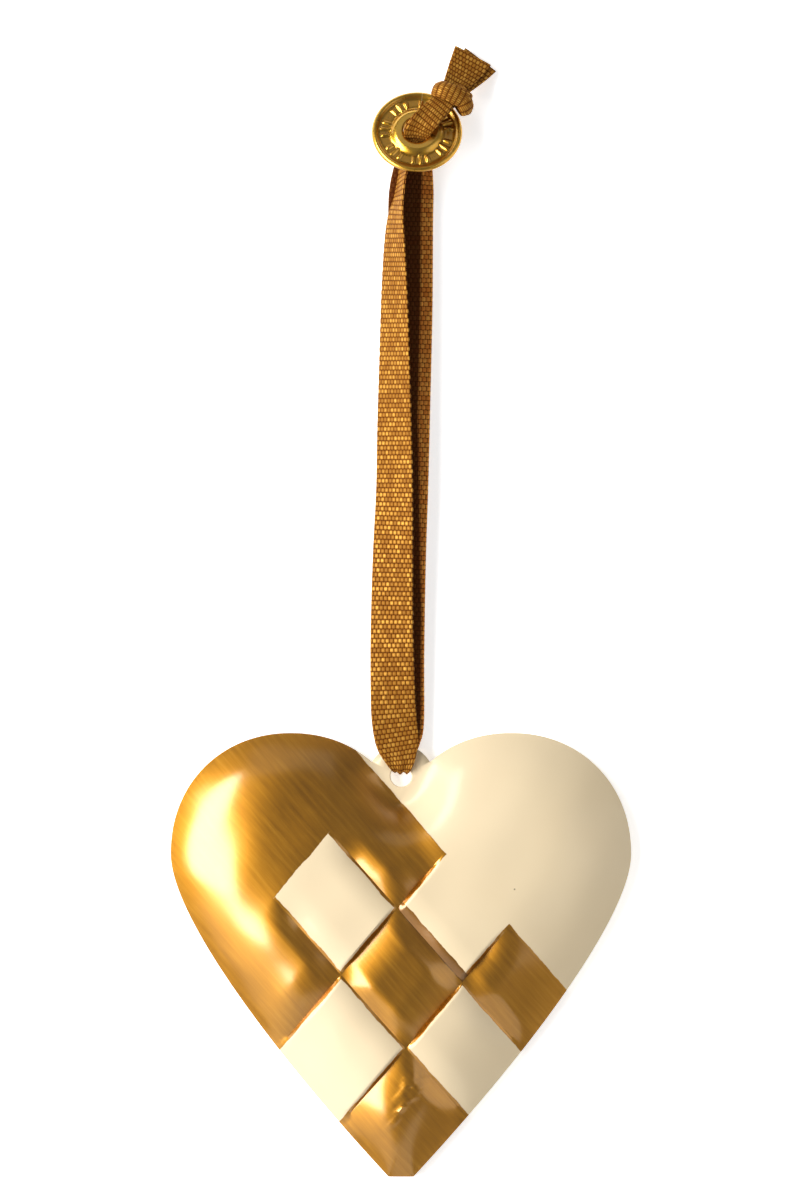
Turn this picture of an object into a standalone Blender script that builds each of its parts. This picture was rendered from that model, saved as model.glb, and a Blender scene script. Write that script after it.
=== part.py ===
"""Pressed metal heart ornament with a woven relief, on a ribbon with a brass button and a knot.

The heart lies on the rim of its hollow back. +Z is up, the tip of the heart points to -Y, the
ribbon runs to +Y, and the origin is on the floor under the middle of the heart.
All lengths are in metres.
"""

import math

import bmesh
import bpy
import numpy as np
from mathutils import Matrix, Vector
from mathutils.geometry import delaunay_2d_cdt

# Outline of the heart
HEART_LENGTH = 0.0886
LOBE_HALF_WIDTH = 0.0240
LOBE_HALF_HEIGHT = 0.0241
LOBE_SPACING = 0.0440
LOBE_SQUARENESS = 2.10
SIDE_START_HANDLE = 0.0122
SIDE_END_HANDLE = 0.0345
TIP_HALF_WIDTH = 0.0025
TIP_SLOPE = math.radians(47.1)

# Section of the heart's sheet
WALL = 0.0007
RIM_HEIGHT = 0.0022
DOME_RISE = 0.0088
DOME_SHOULDER = 0.0215
DOME_ROUNDNESS = 2.1

# Lug and its hole
LUG_RADIUS = 0.0066
LUG_DEPTH = 0.0090
HOLE_RADIUS = 0.0021
HOLE_RISE = 0.0004
LUG_FLAT_RADIUS = 0.0024
LUG_BLEND = 0.0045

# Weave: gold strips run down to the right, cream strips run down to the left
WEAVE_CORNER = (-0.0048, 0.0379)
GOLD_ANGLE = math.radians(48.6)
CREAM_ANGLE = math.radians(49.7)
CREAM_START = 0.0013
CREAM_WIDTHS = (0.0204, 0.0196, 0.0200)
GOLD_START = 0.0012
GOLD_WIDTHS = (0.0147, 0.0174, 0.0220)
GROOVE_DEPTH = 0.0016
GROOVE_FADE = 0.0085
RELIEF_MARGIN = 0.0045

# Sides of a groove: width, and the power of its profile
GOLD_END = (0.0070, 1.7)
GOLD_SIDE = (0.0038, 1.3)
CREAM_END = (0.0058, 2.0)
CREAM_SIDE = (0.0010, 1.5)

# Fineness of the heart's mesh
LOBE_STEPS = 30
SIDE_STEPS = 22
LUG_STEPS = 13
HOLE_STEPS = 20
HOLE_RING_SHARE = 1.5
HOLE_CLEAR_SHARE = 2.0
RING_INSETS = (0.0015, 0.0038)
RING_CLEAR_SHARE = 0.75
GRID_MARGIN = 0.0054
LOBE_GRID_STEP = 0.0050
LOBE_GRID_REACH = 0.0480

# Button
BUTTON_RADIUS = 0.00907
BUTTON_TILT = math.radians(26.7)
BUTTON_PLACE = (0.0032, 0.1640)
BUTTON_RIM = 0.0013
BUTTON_ROLL = 0.0012
BUTTON_PLATE = 0.0007
BUTTON_BOSS_RADIUS = 0.0048
BUTTON_BOSS = 0.0015
BUTTON_HOLE_RADIUS = 0.0027
BUTTON_CORNER = 0.0003
BUTTON_STEPS = 48

# Corners of the button's rolled edge, as shares of the roll in from the outer edge
ROLL_FOOT_SHARE = 1.2
ROLL_INNER_SHARE = 0.8
ROLL_CREST_SHARE = 0.45
ROLL_SIDE_SHARE = 0.12

# Height of the button's lowest edge over the floor
FLOOR_GAP = 0.00005

# Ribbon
RIBBON_WIDTH = 0.0090
RIBBON_THICKNESS = 0.0005
SECTION_POINTS = 8
SECTION_SQUARENESS = 4.0
SPAN_STEPS = 3
KNOT_SIZE = (0.0066, 0.0080, 0.0046)
KNOT_TURN = math.radians(48.0)

# Loop of the ribbon from the button, over the lug, through its hole and back underneath:
# centre x, y, z in millimetres, width and thickness as shares of the flat ribbon's, roll in degrees
LOOP_ROUTE = (
    (3.2, 162.9, 4.4, 0.44, 2.6, 0.0),
    (2.3, 160.6, 3.75, 0.58, 1.9, 30.0),
    (0.6, 157.2, 3.95, 0.80, 1.2, 72.0),
    (-0.4, 151.7, 4.75, 0.98, 1.0, 78.0),
    (-1.1, 146.9, 4.80, 1.00, 1.0, 70.0),
    (-1.3, 140.3, 4.70, 1.00, 1.0, 62.0),
    (-1.3, 129.9, 4.40, 1.00, 1.0, 54.0),
    (-1.3, 117.9, 4.20, 1.00, 1.0, 48.0),
    (-1.3, 105.0, 4.05, 1.00, 1.0, 41.0),
    (-1.3, 92.5, 3.95, 1.00, 1.0, 36.0),
    (-1.6, 80.3, 3.85, 1.00, 1.0, 28.0),
    (-1.8, 64.9, 3.80, 1.00, 1.0, 20.0),
    (-1.6, 51.7, 3.75, 1.00, 1.0, 9.0),
    (-1.3, 46.5, 3.60, 1.00, 1.0, 3.0),
    (-0.7, 42.3, 3.40, 0.95, 1.1, 0.0),
    (-0.2, 39.3, 3.25, 0.72, 1.4, 0.0),
    (0.0, 37.4, 3.00, 0.50, 1.8, 0.0),
    (0.0, 36.5, 1.85, 0.29, 2.6, 0.0),
    (0.0, 37.2, 0.90, 0.34, 2.2, 0.0),
    (0.0, 39.4, 0.64, 0.56, 1.5, 0.0),
    (0.05, 42.4, 0.45, 0.84, 1.1, 0.0),
    (0.1, 46.6, 0.36, 1.00, 1.0, 0.0),
    (0.15, 60.0, 0.34, 1.00, 1.0, 0.0),
    (0.45, 78.0, 0.34, 1.00, 1.0, 0.0),
    (0.95, 94.0, 0.34, 1.00, 1.0, 0.0),
    (1.4, 112.0, 0.34, 1.00, 1.0, 0.0),
    (1.8, 130.0, 0.34, 1.00, 1.0, 0.0),
    (1.9, 146.0, 0.36, 1.00, 1.0, 0.0),
    (2.1, 153.0, 0.60, 0.98, 1.0, 0.0),
    (2.6, 158.6, 1.30, 0.80, 1.2, 0.0),
    (3.1, 162.5, 2.30, 0.56, 1.8, 0.0),
    (3.3, 164.4, 3.65, 0.44, 2.6, 0.0),
)

# Doubled ribbon from the button's hole to the knot
STEM_ROUTE = (
    (3.25, 163.0, 3.30, 0.46, 5.6, 0.0),
    (3.25, 164.0, 4.60, 0.46, 6.2, 0.0),
    (3.5, 165.0, 6.40, 0.47, 6.0, 0.0),
    (5.0, 166.6, 7.70, 0.50, 5.0, 0.0),
    (7.4, 169.1, 7.10, 0.50, 5.0, 0.0),
    (9.6, 171.3, 5.90, 0.48, 5.4, 0.0),
)

# Both cut ends of the ribbon past the knot
TAIL_ROUTE = (
    (10.4, 172.2, 5.40, 0.55, 5.4, 6.0),
    (11.9, 174.6, 4.00, 0.66, 4.0, 12.0),
    (13.4, 177.2, 2.30, 0.92, 2.8, 12.0),
    (14.8, 179.7, 1.15, 1.06, 2.6, 12.0),
)
KNOT_PLACE = (0.0101, 0.1717, 0.0056)


def clear_scene():
    """Remove every object of the open file."""
    for item in list(bpy.data.objects):
        bpy.data.objects.remove(item, do_unlink=True)


def new_collection(name):
    """Return a new collection linked to the scene."""
    group = bpy.data.collections.new(name)
    bpy.context.scene.collection.children.link(group)
    return group


def new_material(name, colour, roughness, metallic):
    """Return a Principled material with the given plain values."""
    material = bpy.data.materials.new(name)
    material.use_nodes = True
    shader = material.node_tree.nodes["Principled BSDF"]
    shader.inputs["Base Color"].default_value = (*colour, 1.0)
    shader.inputs["Roughness"].default_value = roughness
    shader.inputs["Metallic"].default_value = metallic
    return material


def new_object(name, mesh, group, *materials):
    """Link a mesh to a collection as an object with its materials."""
    item = bpy.data.objects.new(name, mesh)
    group.objects.link(item)
    for material in materials:
        mesh.materials.append(material)
    return item


def shade_round(mesh, degrees):
    """Shade a mesh smooth apart from edges sharper than the angle."""
    mesh.shade_smooth()
    mesh.set_sharp_from_angle(angle=math.radians(degrees))


def smooth_step(value):
    """Return 0 below 0, 1 above 1 and an S-shaped rise between."""
    share = np.clip(value, 0.0, 1.0)
    return share * share * (3.0 - 2.0 * share)


def lobe_point(angle):
    """Return a point of the right lobe, a slightly square ellipse."""
    power = 2.0 / LOBE_SQUARENESS
    across = math.copysign(abs(math.cos(angle)) ** power, math.cos(angle))
    along = math.copysign(abs(math.sin(angle)) ** power, math.sin(angle))
    centre_y = HEART_LENGTH / 2 - LOBE_HALF_HEIGHT
    return Vector((LOBE_SPACING / 2 + LOBE_HALF_WIDTH * across, centre_y + LOBE_HALF_HEIGHT * along))


def find_angle(test):
    """Return the lobe angle between its top and its inner side where test turns true."""
    low = math.radians(90.0)
    high = math.radians(179.0)
    for _ in range(50):
        middle = (low + high) / 2
        if test(lobe_point(middle)):
            high = middle
        else:
            low = middle
    return low


def lug_centre():
    """Return the middle of the lug in the plane of the heart."""
    return Vector((0.0, HEART_LENGTH / 2 - LUG_DEPTH))


def hole_centre():
    """Return the middle of the lug's hole in the plane of the heart."""
    return lug_centre() + Vector((0.0, HOLE_RISE))


def side_points(count):
    """Return the right side from the widest point to the tip, a cubic curve."""
    start = lobe_point(0.0)
    end = Vector((TIP_HALF_WIDTH, -HEART_LENGTH / 2))
    first = start - Vector((0.0, SIDE_START_HANDLE))
    second = end + SIDE_END_HANDLE * Vector((math.cos(TIP_SLOPE), math.sin(TIP_SLOPE)))
    points = []
    for step in range(count + 1):
        t = step / count
        s = 1.0 - t
        points.append(s ** 3 * start + 3 * s * s * t * first + 3 * s * t * t * second + t ** 3 * end)
    return points


def mirrored(points):
    """Return the points on the other side of the heart, in reverse order."""
    return [Vector((-point.x, point.y)) for point in reversed(points)]


def heart_side(from_angle):
    """Return the right half of the outline from a lobe angle clockwise to the tip."""
    lobe = [lobe_point(from_angle * (1.0 - step / LOBE_STEPS)) for step in range(LOBE_STEPS)]
    return lobe + side_points(SIDE_STEPS)


def bare_outline():
    """Return the heart's outline without its lug, clockwise from the cleft."""
    cleft_angle = find_angle(lambda point: point.x < 0.0)
    half = heart_side(cleft_angle)
    return half + mirrored(half[1:])


def full_outline():
    """Return the outline with the lug, clockwise, and the number of points off the lug."""
    centre = lug_centre()
    meet = find_angle(lambda point: (point - centre).length < LUG_RADIUS)
    half = heart_side(meet)
    body = half + mirrored(half)
    start = math.atan2(body[0].y - centre.y, body[0].x - centre.x)
    arc = []
    for step in range(1, LUG_STEPS):
        angle = math.pi - start + (2.0 * start - math.pi) * step / LUG_STEPS
        arc.append(centre + LUG_RADIUS * Vector((math.cos(angle), math.sin(angle))))
    return body + arc, len(body)


def soft_distance(points, outline):
    """Return a smooth distance of each point to a closed outline.

    For each straight piece of the outline the inverse cube of the distance is summed along the
    piece, which has a closed form. Two over the total is the square of the distance, which is
    exact at a straight edge and has no crease in the middle.
    """
    start = np.array([(point.x, point.y) for point in outline])
    along = np.roll(start, -1, axis=0) - start
    length = np.linalg.norm(along, axis=1)
    along = along / length[:, None]
    offset = points[:, None, :] - start[None, :, :]
    run = (offset * along[None, :, :]).sum(axis=2)
    height = offset[:, :, 0] * along[None, :, 1] - offset[:, :, 1] * along[None, :, 0]
    square = height ** 2 + 1e-12
    near = run / np.sqrt(square + run ** 2)
    far = (run - length) / np.sqrt(square + (run - length) ** 2)
    total = ((near - far) / square).sum(axis=1)
    return np.sqrt(2.0 / np.maximum(total, 1e-3))


def is_inside(points, outline):
    """Return which points lie inside a closed outline, by counting crossings."""
    corner = np.array([(point.x, point.y) for point in outline])
    after = np.roll(corner, -1, axis=0)
    x = points[:, 0:1]
    y = points[:, 1:2]
    spans = (corner[None, :, 1] > y) != (after[None, :, 1] > y)
    rise = np.where(after[:, 1] == corner[:, 1], 1e-12, after[:, 1] - corner[:, 1])
    crossing = corner[:, 0] + (y - corner[:, 1]) * (after[:, 0] - corner[:, 0]) / rise
    return (np.logical_and(spans, x < crossing).sum(axis=1) % 2) == 1


def strip_edges(start, widths):
    """Return the places of the lines between neighbouring strips."""
    return start + np.concatenate(([0.0], np.cumsum(widths)))


def weave_axes():
    """Return the unit directions of the gold and of the cream strips."""
    gold = Vector((math.cos(GOLD_ANGLE), -math.sin(GOLD_ANGLE)))
    cream = Vector((-math.cos(CREAM_ANGLE), -math.sin(CREAM_ANGLE)))
    return gold, cream


def weave_coordinates(points):
    """Return how far each point lies along the gold and along the cream strips."""
    gold, cream = weave_axes()
    frame = np.linalg.inv(np.array(((gold.x, cream.x), (gold.y, cream.y))))
    local = (points - np.array(WEAVE_CORNER)) @ frame.T
    return local[:, 0], local[:, 1]


def gold_on_top(gold_strip, cream_strip):
    """Return whether the gold strip passes over, strip 0 being the lobe the strips come from."""
    if cream_strip == 0:
        return True
    if gold_strip == 0:
        return False
    return (gold_strip + cream_strip) % 2 == 0


def groove_share(distance, side, along, low, high, opens_low):
    """Return the depth share of one side of a groove.

    The share falls from 1 on the line to 0 at the width of that side, as a power of the
    distance, and fades along the line towards a lobe, where the groove opens.
    """
    width, power = side
    share = np.clip(1.0 - distance / width, 0.0, 1.0) ** power
    share = np.where((along >= low) & (along <= high) & (distance >= 0.0), share, 0.0)
    if opens_low:
        share = share * smooth_step((along - low) / GROOVE_FADE)
    return share


def groove_sides(run, along, lines, ends, crosses_gold):
    """Return what the grooves of one set of lines leave, as one minus each side's share.

    A strip that dives under its neighbour rolls down over a wide end. The side edges of a gold
    strip are bevelled, and those of a cream strip are crisp.
    """
    left = np.ones_like(run)
    for strip in (1, 2, 3):
        for line in (1, 2):
            for direction, cell in ((-1.0, line), (1.0, line + 1)):
                is_gold_cell = gold_on_top(strip, cell)
                if crosses_gold:
                    side = GOLD_END if is_gold_cell else CREAM_SIDE
                else:
                    side = GOLD_SIDE if is_gold_cell else CREAM_END
                left *= 1.0 - groove_share(direction * (run - lines[line]), side, along,
                                           ends[strip - 1], ends[strip], strip == 1)
    return left


def weave_depth(gold_run, cream_run):
    """Return how deep the relief lies under the dome.

    Overlapping grooves join as one minus the product of what each leaves.
    """
    across_gold = strip_edges(CREAM_START, CREAM_WIDTHS)
    across_cream = strip_edges(GOLD_START, GOLD_WIDTHS)
    left = groove_sides(gold_run, cream_run, across_gold, across_cream, True)
    left = left * groove_sides(cream_run, gold_run, across_cream, across_gold, False)
    return GROOVE_DEPTH * (1.0 - left)


def heart_height(points):
    """Return the height of the heart's outer face over each point of its plan.

    The dome rises from the rim by one minus a power of the share of the shoulder that is left,
    is held down around the lug, and carries the weave's grooves.
    """
    outline = bare_outline()
    reach = np.where(is_inside(points, outline), soft_distance(points, outline), 0.0)
    share = np.clip(reach / DOME_SHOULDER, 0.0, 1.0)
    dome = DOME_RISE * (1.0 - (1.0 - share) ** DOME_ROUNDNESS)
    from_hole = np.linalg.norm(points - np.array(hole_centre()), axis=1)
    past_flat = np.clip(from_hole - LUG_FLAT_RADIUS, 0.0, None)
    lug_fade = 1.0 - np.exp(-(past_flat / LUG_BLEND) ** 2)
    relief = weave_depth(*weave_coordinates(points)) * (1.0 - np.exp(-reach / RELIEF_MARGIN))
    return RIM_HEIGHT + (dome - relief) * lug_fade


def circle_points(centre, radius, count):
    """Return points round a circle in the plane of the heart."""
    turns = [2.0 * math.pi * step / count for step in range(count)]
    return [centre + radius * Vector((math.cos(turn), math.sin(turn))) for turn in turns]


def grid_lines(edges):
    """Return grid places that follow the grooves' sides and fill the lobe before them."""
    crisp = CREAM_SIDE[0]
    bevel = GOLD_SIDE[0]
    places = []
    for low, high in zip(edges[:-1], edges[1:]):
        places += [low, low + crisp, low + bevel, (low + high) / 2, high - bevel, high - crisp]
    places.append(edges[-1])
    lobe_count = int(LOBE_GRID_REACH / LOBE_GRID_STEP)
    places += [edges[0] - LOBE_GRID_STEP * (step + 0.5) for step in range(lobe_count)]
    return sorted(places)


def grid_points(outline):
    """Return the crossings of the weave's grid that lie well inside the outline."""
    gold, cream = weave_axes()
    corner = Vector(WEAVE_CORNER)
    points = []
    for run in grid_lines(strip_edges(CREAM_START, CREAM_WIDTHS)):
        for depth in grid_lines(strip_edges(GOLD_START, GOLD_WIDTHS)):
            points.append(corner + gold * float(run) + cream * float(depth))
    flat = np.array(points)
    clear = is_inside(flat, outline) & (soft_distance(flat, outline) > GRID_MARGIN)
    clear &= np.linalg.norm(flat - np.array(hole_centre()), axis=1) > HOLE_CLEAR_SHARE * HOLE_RADIUS
    return [point for point, keep in zip(points, clear) if keep]


def ring_points(outline, body_count):
    """Return rows of points a little inside the rim."""
    points = []
    for inset in RING_INSETS:
        row = []
        for index in range(1, body_count - 1):
            along = (outline[index + 1] - outline[index - 1]).normalized()
            row.append(outline[index] + inset * Vector((along.y, -along.x)))
        flat = np.array(row)
        clear = is_inside(flat, outline) & (soft_distance(flat, outline) > RING_CLEAR_SHARE * inset)
        clear &= np.linalg.norm(flat - np.array(hole_centre()), axis=1) > HOLE_CLEAR_SHARE * HOLE_RADIUS
        points += [point for point, keep in zip(row, clear) if keep]
    return points


def heart_sheet():
    """Return the outer face of the heart as an open mesh with a turned-down rim."""
    outline, body_count = full_outline()
    hole = circle_points(hole_centre(), HOLE_RADIUS, HOLE_STEPS)
    hole_ring = circle_points(hole_centre(), HOLE_RING_SHARE * HOLE_RADIUS, HOLE_STEPS)
    count = len(outline)
    points = outline + hole + hole_ring + ring_points(outline, body_count) + grid_points(outline)
    edges = [(index, (index + 1) % count) for index in range(count)]
    edges += [(count + index, count + (index + 1) % HOLE_STEPS) for index in range(HOLE_STEPS)]
    plan, _, triangles, _, _, _ = delaunay_2d_cdt(points, edges, [], 0, 1e-7)
    flat = np.array([(point.x, point.y) for point in plan])
    heights = heart_height(flat)
    middles = flat[np.array(triangles)].mean(axis=1)
    keep = is_inside(middles, outline) & ~is_inside(middles, hole)
    mesh = bmesh.new()
    corners = [mesh.verts.new((x, y, z)) for (x, y), z in zip(flat, heights)]
    for triangle, kept in zip(triangles, keep):
        if kept:
            mesh.faces.new([corners[index] for index in triangle])
    bmesh.ops.delete(mesh, geom=[vert for vert in mesh.verts if not vert.link_faces], context="VERTS")
    turn_down_rim(mesh)
    return mesh


def turn_down_rim(mesh):
    """Add the upright rim under the heart's own edge, which the lug's edge doesn't have."""
    centre = lug_centre()
    rim = []
    for edge in mesh.edges:
        middle = (edge.verts[0].co + edge.verts[1].co) / 2
        if edge.is_boundary and (middle.xy - centre).length > LUG_RADIUS:
            rim.append(edge)
    feet = {}
    for edge in rim:
        face = edge.link_faces[0]
        first, second = edge.verts
        loops = [loop.vert for loop in face.loops]
        if loops[(loops.index(first) + 1) % len(loops)] is not second:
            first, second = second, first
        for vert in (first, second):
            if vert not in feet:
                feet[vert] = mesh.verts.new((vert.co.x, vert.co.y, 0.0))
        mesh.faces.new((second, first, feet[first], feet[second]))


def build_heart(group, gold, cream):
    """Build the pressed heart: one sheet with its wall thickness inwards."""
    mesh = heart_sheet()
    for face in mesh.faces:
        centre = np.array([tuple(face.calc_center_median().xy)])
        face.material_index = 0 if is_gold(centre) else 1
    data = bpy.data.meshes.new("heart")
    mesh.to_mesh(data)
    mesh.free()
    shade_round(data, 35.0)
    heart = new_object("heart", data, group, gold, cream)
    wall = heart.modifiers.new("wall", "SOLIDIFY")
    wall.thickness = WALL
    wall.offset = -1.0
    wall.use_even_offset = True
    return heart


def is_gold(point):
    """Return whether a point of the plan is painted gold."""
    gold_run, cream_run = weave_coordinates(point)
    cream_strip = int(np.searchsorted(strip_edges(CREAM_START, CREAM_WIDTHS)[:-1], gold_run[0]))
    gold_strip = int(np.searchsorted(strip_edges(GOLD_START, GOLD_WIDTHS)[:-1], cream_run[0]))
    if gold_strip == 0:
        return False
    return gold_on_top(gold_strip, cream_strip)


def catmull_rom(stations, steps):
    """Return rows read from one smooth curve through the stations."""
    rows = np.array(stations, dtype=float)
    padded = np.vstack((2 * rows[0] - rows[1], rows, 2 * rows[-1] - rows[-2]))
    result = []
    for index in range(len(rows) - 1):
        before, start, end, after = padded[index:index + 4]
        for step in range(steps):
            t = step / steps
            result.append(0.5 * (2 * start + (end - before) * t
                                 + (2 * before - 5 * start + 4 * end - after) * t * t
                                 + (3 * start - before - 3 * end + after) * t ** 3))
    result.append(rows[-1])
    return np.array(result)


def ribbon_strip(route):
    """Return a closed mesh that carries a flat section along a route.

    The section's width lies along X, turned about the route by the roll, and its corners are
    rounded by a superellipse.
    """
    rows = catmull_rom(route, SPAN_STEPS)
    centres = rows[:, :3] / 1000.0
    tangents = np.gradient(centres, axis=0)
    mesh = bmesh.new()
    rings = []
    for centre, tangent, row in zip(centres, tangents, rows):
        forward = Vector(tangent).normalized()
        across = (Vector((1.0, 0.0, 0.0)) - forward * forward.x).normalized()
        normal = forward.cross(across)
        turn = math.radians(row[5])
        wide = across * math.cos(turn) + normal * math.sin(turn)
        thick = forward.cross(wide)
        half_width = row[3] * RIBBON_WIDTH / 2
        half_thickness = row[4] * RIBBON_THICKNESS / 2
        ring = []
        for step in range(SECTION_POINTS):
            angle = 2.0 * math.pi * (step + 0.5) / SECTION_POINTS
            power = 2.0 / SECTION_SQUARENESS
            u = math.copysign(abs(math.cos(angle)) ** power, math.cos(angle))
            v = math.copysign(abs(math.sin(angle)) ** power, math.sin(angle))
            offset = wide * (half_width * u) + thick * (half_thickness * v)
            ring.append(mesh.verts.new(Vector(centre) + offset))
        rings.append(ring)
    for ring, after in zip(rings[:-1], rings[1:]):
        for step in range(SECTION_POINTS):
            other = (step + 1) % SECTION_POINTS
            mesh.faces.new((ring[step], ring[other], after[other], after[step]))
    mesh.faces.new(list(reversed(rings[0])))
    mesh.faces.new(rings[-1])
    bmesh.ops.recalc_face_normals(mesh, faces=mesh.faces)
    return mesh


def knot_body():
    """Return the knot as a flattened ball lying across the ribbon."""
    mesh = bmesh.new()
    shape = Matrix.LocRotScale(
        Vector(KNOT_PLACE), Matrix.Rotation(KNOT_TURN, 3, "Z").to_quaternion(), Vector(KNOT_SIZE) / 2)
    bmesh.ops.create_uvsphere(mesh, u_segments=20, v_segments=12, radius=1.0, matrix=shape)
    return mesh


def mesh_object(name, mesh, group):
    """Store a bmesh as an object in a collection."""
    data = bpy.data.meshes.new(name)
    mesh.to_mesh(data)
    mesh.free()
    return new_object(name, data, group)


def as_cutter(item):
    """Mark an object as a guide that is not part of the model."""
    item.hide_render = True
    item.display_type = "WIRE"
    return item


def build_ribbon(group, guides, material):
    """Build the ribbon: loop, doubled stem, knot and cut ends joined into one body."""
    ribbon = mesh_object("ribbon", ribbon_strip(LOOP_ROUTE), group)
    ribbon.data.materials.append(material)
    pieces = (
        mesh_object("ribbon_stem", ribbon_strip(STEM_ROUTE), guides),
        mesh_object("ribbon_knot", knot_body(), guides),
        mesh_object("ribbon_tails", ribbon_strip(TAIL_ROUTE), guides),
    )
    for piece in pieces:
        union = ribbon.modifiers.new(piece.name, "BOOLEAN")
        union.operation = "UNION"
        union.solver = "EXACT"
        union.object = as_cutter(piece)
    return ribbon


def button_profile():
    """Return radius and height pairs from the hole's foot over the top and back under."""
    edge_inner = BUTTON_RADIUS - ROLL_INNER_SHARE * BUTTON_ROLL
    edge_crest = BUTTON_RADIUS - ROLL_CREST_SHARE * BUTTON_ROLL
    edge_side = BUTTON_RADIUS - ROLL_SIDE_SHARE * BUTTON_ROLL
    return [
        (BUTTON_HOLE_RADIUS, BUTTON_CORNER),
        (BUTTON_HOLE_RADIUS, BUTTON_BOSS - BUTTON_CORNER),
        (BUTTON_HOLE_RADIUS + BUTTON_CORNER, BUTTON_BOSS),
        (BUTTON_BOSS_RADIUS - BUTTON_CORNER, BUTTON_BOSS),
        (BUTTON_BOSS_RADIUS, BUTTON_BOSS - BUTTON_CORNER),
        (BUTTON_BOSS_RADIUS + BUTTON_ROLL / 2, BUTTON_PLATE),
        (BUTTON_RADIUS - ROLL_FOOT_SHARE * BUTTON_ROLL, BUTTON_PLATE),
        (edge_inner, BUTTON_RIM - BUTTON_CORNER),
        (edge_crest, BUTTON_RIM),
        (edge_side, BUTTON_RIM - BUTTON_CORNER),
        (BUTTON_RADIUS, BUTTON_RIM / 2),
        (edge_side, BUTTON_CORNER),
        (edge_crest, 0.0),
        (BUTTON_HOLE_RADIUS + BUTTON_CORNER, 0.0),
    ]


def build_button(group, material):
    """Build the button by turning its profile, tipped up on the ribbon that runs under it."""
    mesh = bmesh.new()
    profile = [mesh.verts.new((radius, 0.0, height)) for radius, height in button_profile()]
    for first, second in zip(profile, profile[1:] + profile[:1]):
        mesh.edges.new((first, second))
    data = bpy.data.meshes.new("button")
    mesh.to_mesh(data)
    mesh.free()
    button = new_object("button", data, group, material)
    turned = button.modifiers.new("turned", "SCREW")
    turned.steps = BUTTON_STEPS
    turned.render_steps = BUTTON_STEPS
    turned.use_merge_vertices = True
    turned.merge_threshold = 0.00001
    turned.use_smooth_shade = True
    height = BUTTON_RADIUS * math.sin(BUTTON_TILT) + FLOOR_GAP
    button.location = (*BUTTON_PLACE, height)
    button.rotation_euler = (-BUTTON_TILT, 0.0, 0.0)
    return button


def main():
    """Build the whole ornament."""
    clear_scene()
    group = new_collection("woven_heart_ornament")
    guides = new_collection("guides")
    gold = new_material("gold_paint", (0.58, 0.36, 0.08), 0.32, 1.0)
    cream = new_material("cream_enamel", (0.86, 0.74, 0.52), 0.22, 0.0)
    brass = new_material("brass", (0.42, 0.30, 0.08), 0.30, 1.0)
    weave = new_material("ribbon_weave", (0.50, 0.25, 0.04), 0.55, 0.2)
    build_heart(group, gold, cream)
    build_button(group, brass)
    build_ribbon(group, guides, weave)


main()
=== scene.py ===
"""Looks of the woven metal heart ornament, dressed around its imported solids.

The ornament lies on its back on a pale floor. All lengths are in metres, in the frame of the
solids: +Z up, the tip of the heart towards -Y and the ribbon towards +Y.
"""

import logging
import math
from collections.abc import Callable
from dataclasses import dataclass
from enum import Enum

import bpy
import numpy as np
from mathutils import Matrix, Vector
from mathutils.geometry import delaunay_2d_cdt


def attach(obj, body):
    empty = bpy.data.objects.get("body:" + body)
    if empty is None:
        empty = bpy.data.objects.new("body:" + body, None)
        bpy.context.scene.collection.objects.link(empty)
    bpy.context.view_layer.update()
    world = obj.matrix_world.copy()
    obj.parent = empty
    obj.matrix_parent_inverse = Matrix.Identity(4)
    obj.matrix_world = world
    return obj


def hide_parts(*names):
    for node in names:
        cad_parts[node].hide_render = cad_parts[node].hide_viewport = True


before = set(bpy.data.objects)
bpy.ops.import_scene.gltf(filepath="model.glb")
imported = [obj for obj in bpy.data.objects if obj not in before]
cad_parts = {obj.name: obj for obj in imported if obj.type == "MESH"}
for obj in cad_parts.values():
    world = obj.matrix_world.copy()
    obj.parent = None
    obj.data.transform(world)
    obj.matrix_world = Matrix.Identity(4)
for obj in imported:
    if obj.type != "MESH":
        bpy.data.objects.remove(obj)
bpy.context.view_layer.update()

LOG = logging.getLogger("woven_heart")
Array = np.ndarray
Pair = tuple[float, float]
Triple = tuple[float, float, float]
Colour = Triple
Point = Triple
Route = tuple[tuple[float, ...], ...]
Item = bpy.types.Object
Material = bpy.types.Material
MM = 0.001

# Numbers of the sockets that share a name with others of their node.
OBJECT_COORDINATES = 3
MIX_FIRST = 6
MIX_SECOND = 7
MIX_RESULT = 2


class Slot(Enum):
    """The record's material slots."""

    SHEET = "painted_sheet"
    BRASS = "brass"
    RIBBON = "ribbon_weave"


def math_method(operation: str, swapped: bool = False) -> "Callable[..., Value]":
    """Return a method that joins values by a Math node.

    Args:
        operation: name of the Math node's operation.
        swapped: whether the value that owns the method comes last.

    Returns:
        The method.
    """
    def method(self: "Value", *others: "Value | float") -> "Value":
        """Return the Math node's result."""
        return self.math(operation, *((*others, self) if swapped else (self, *others)))
    return method


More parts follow.
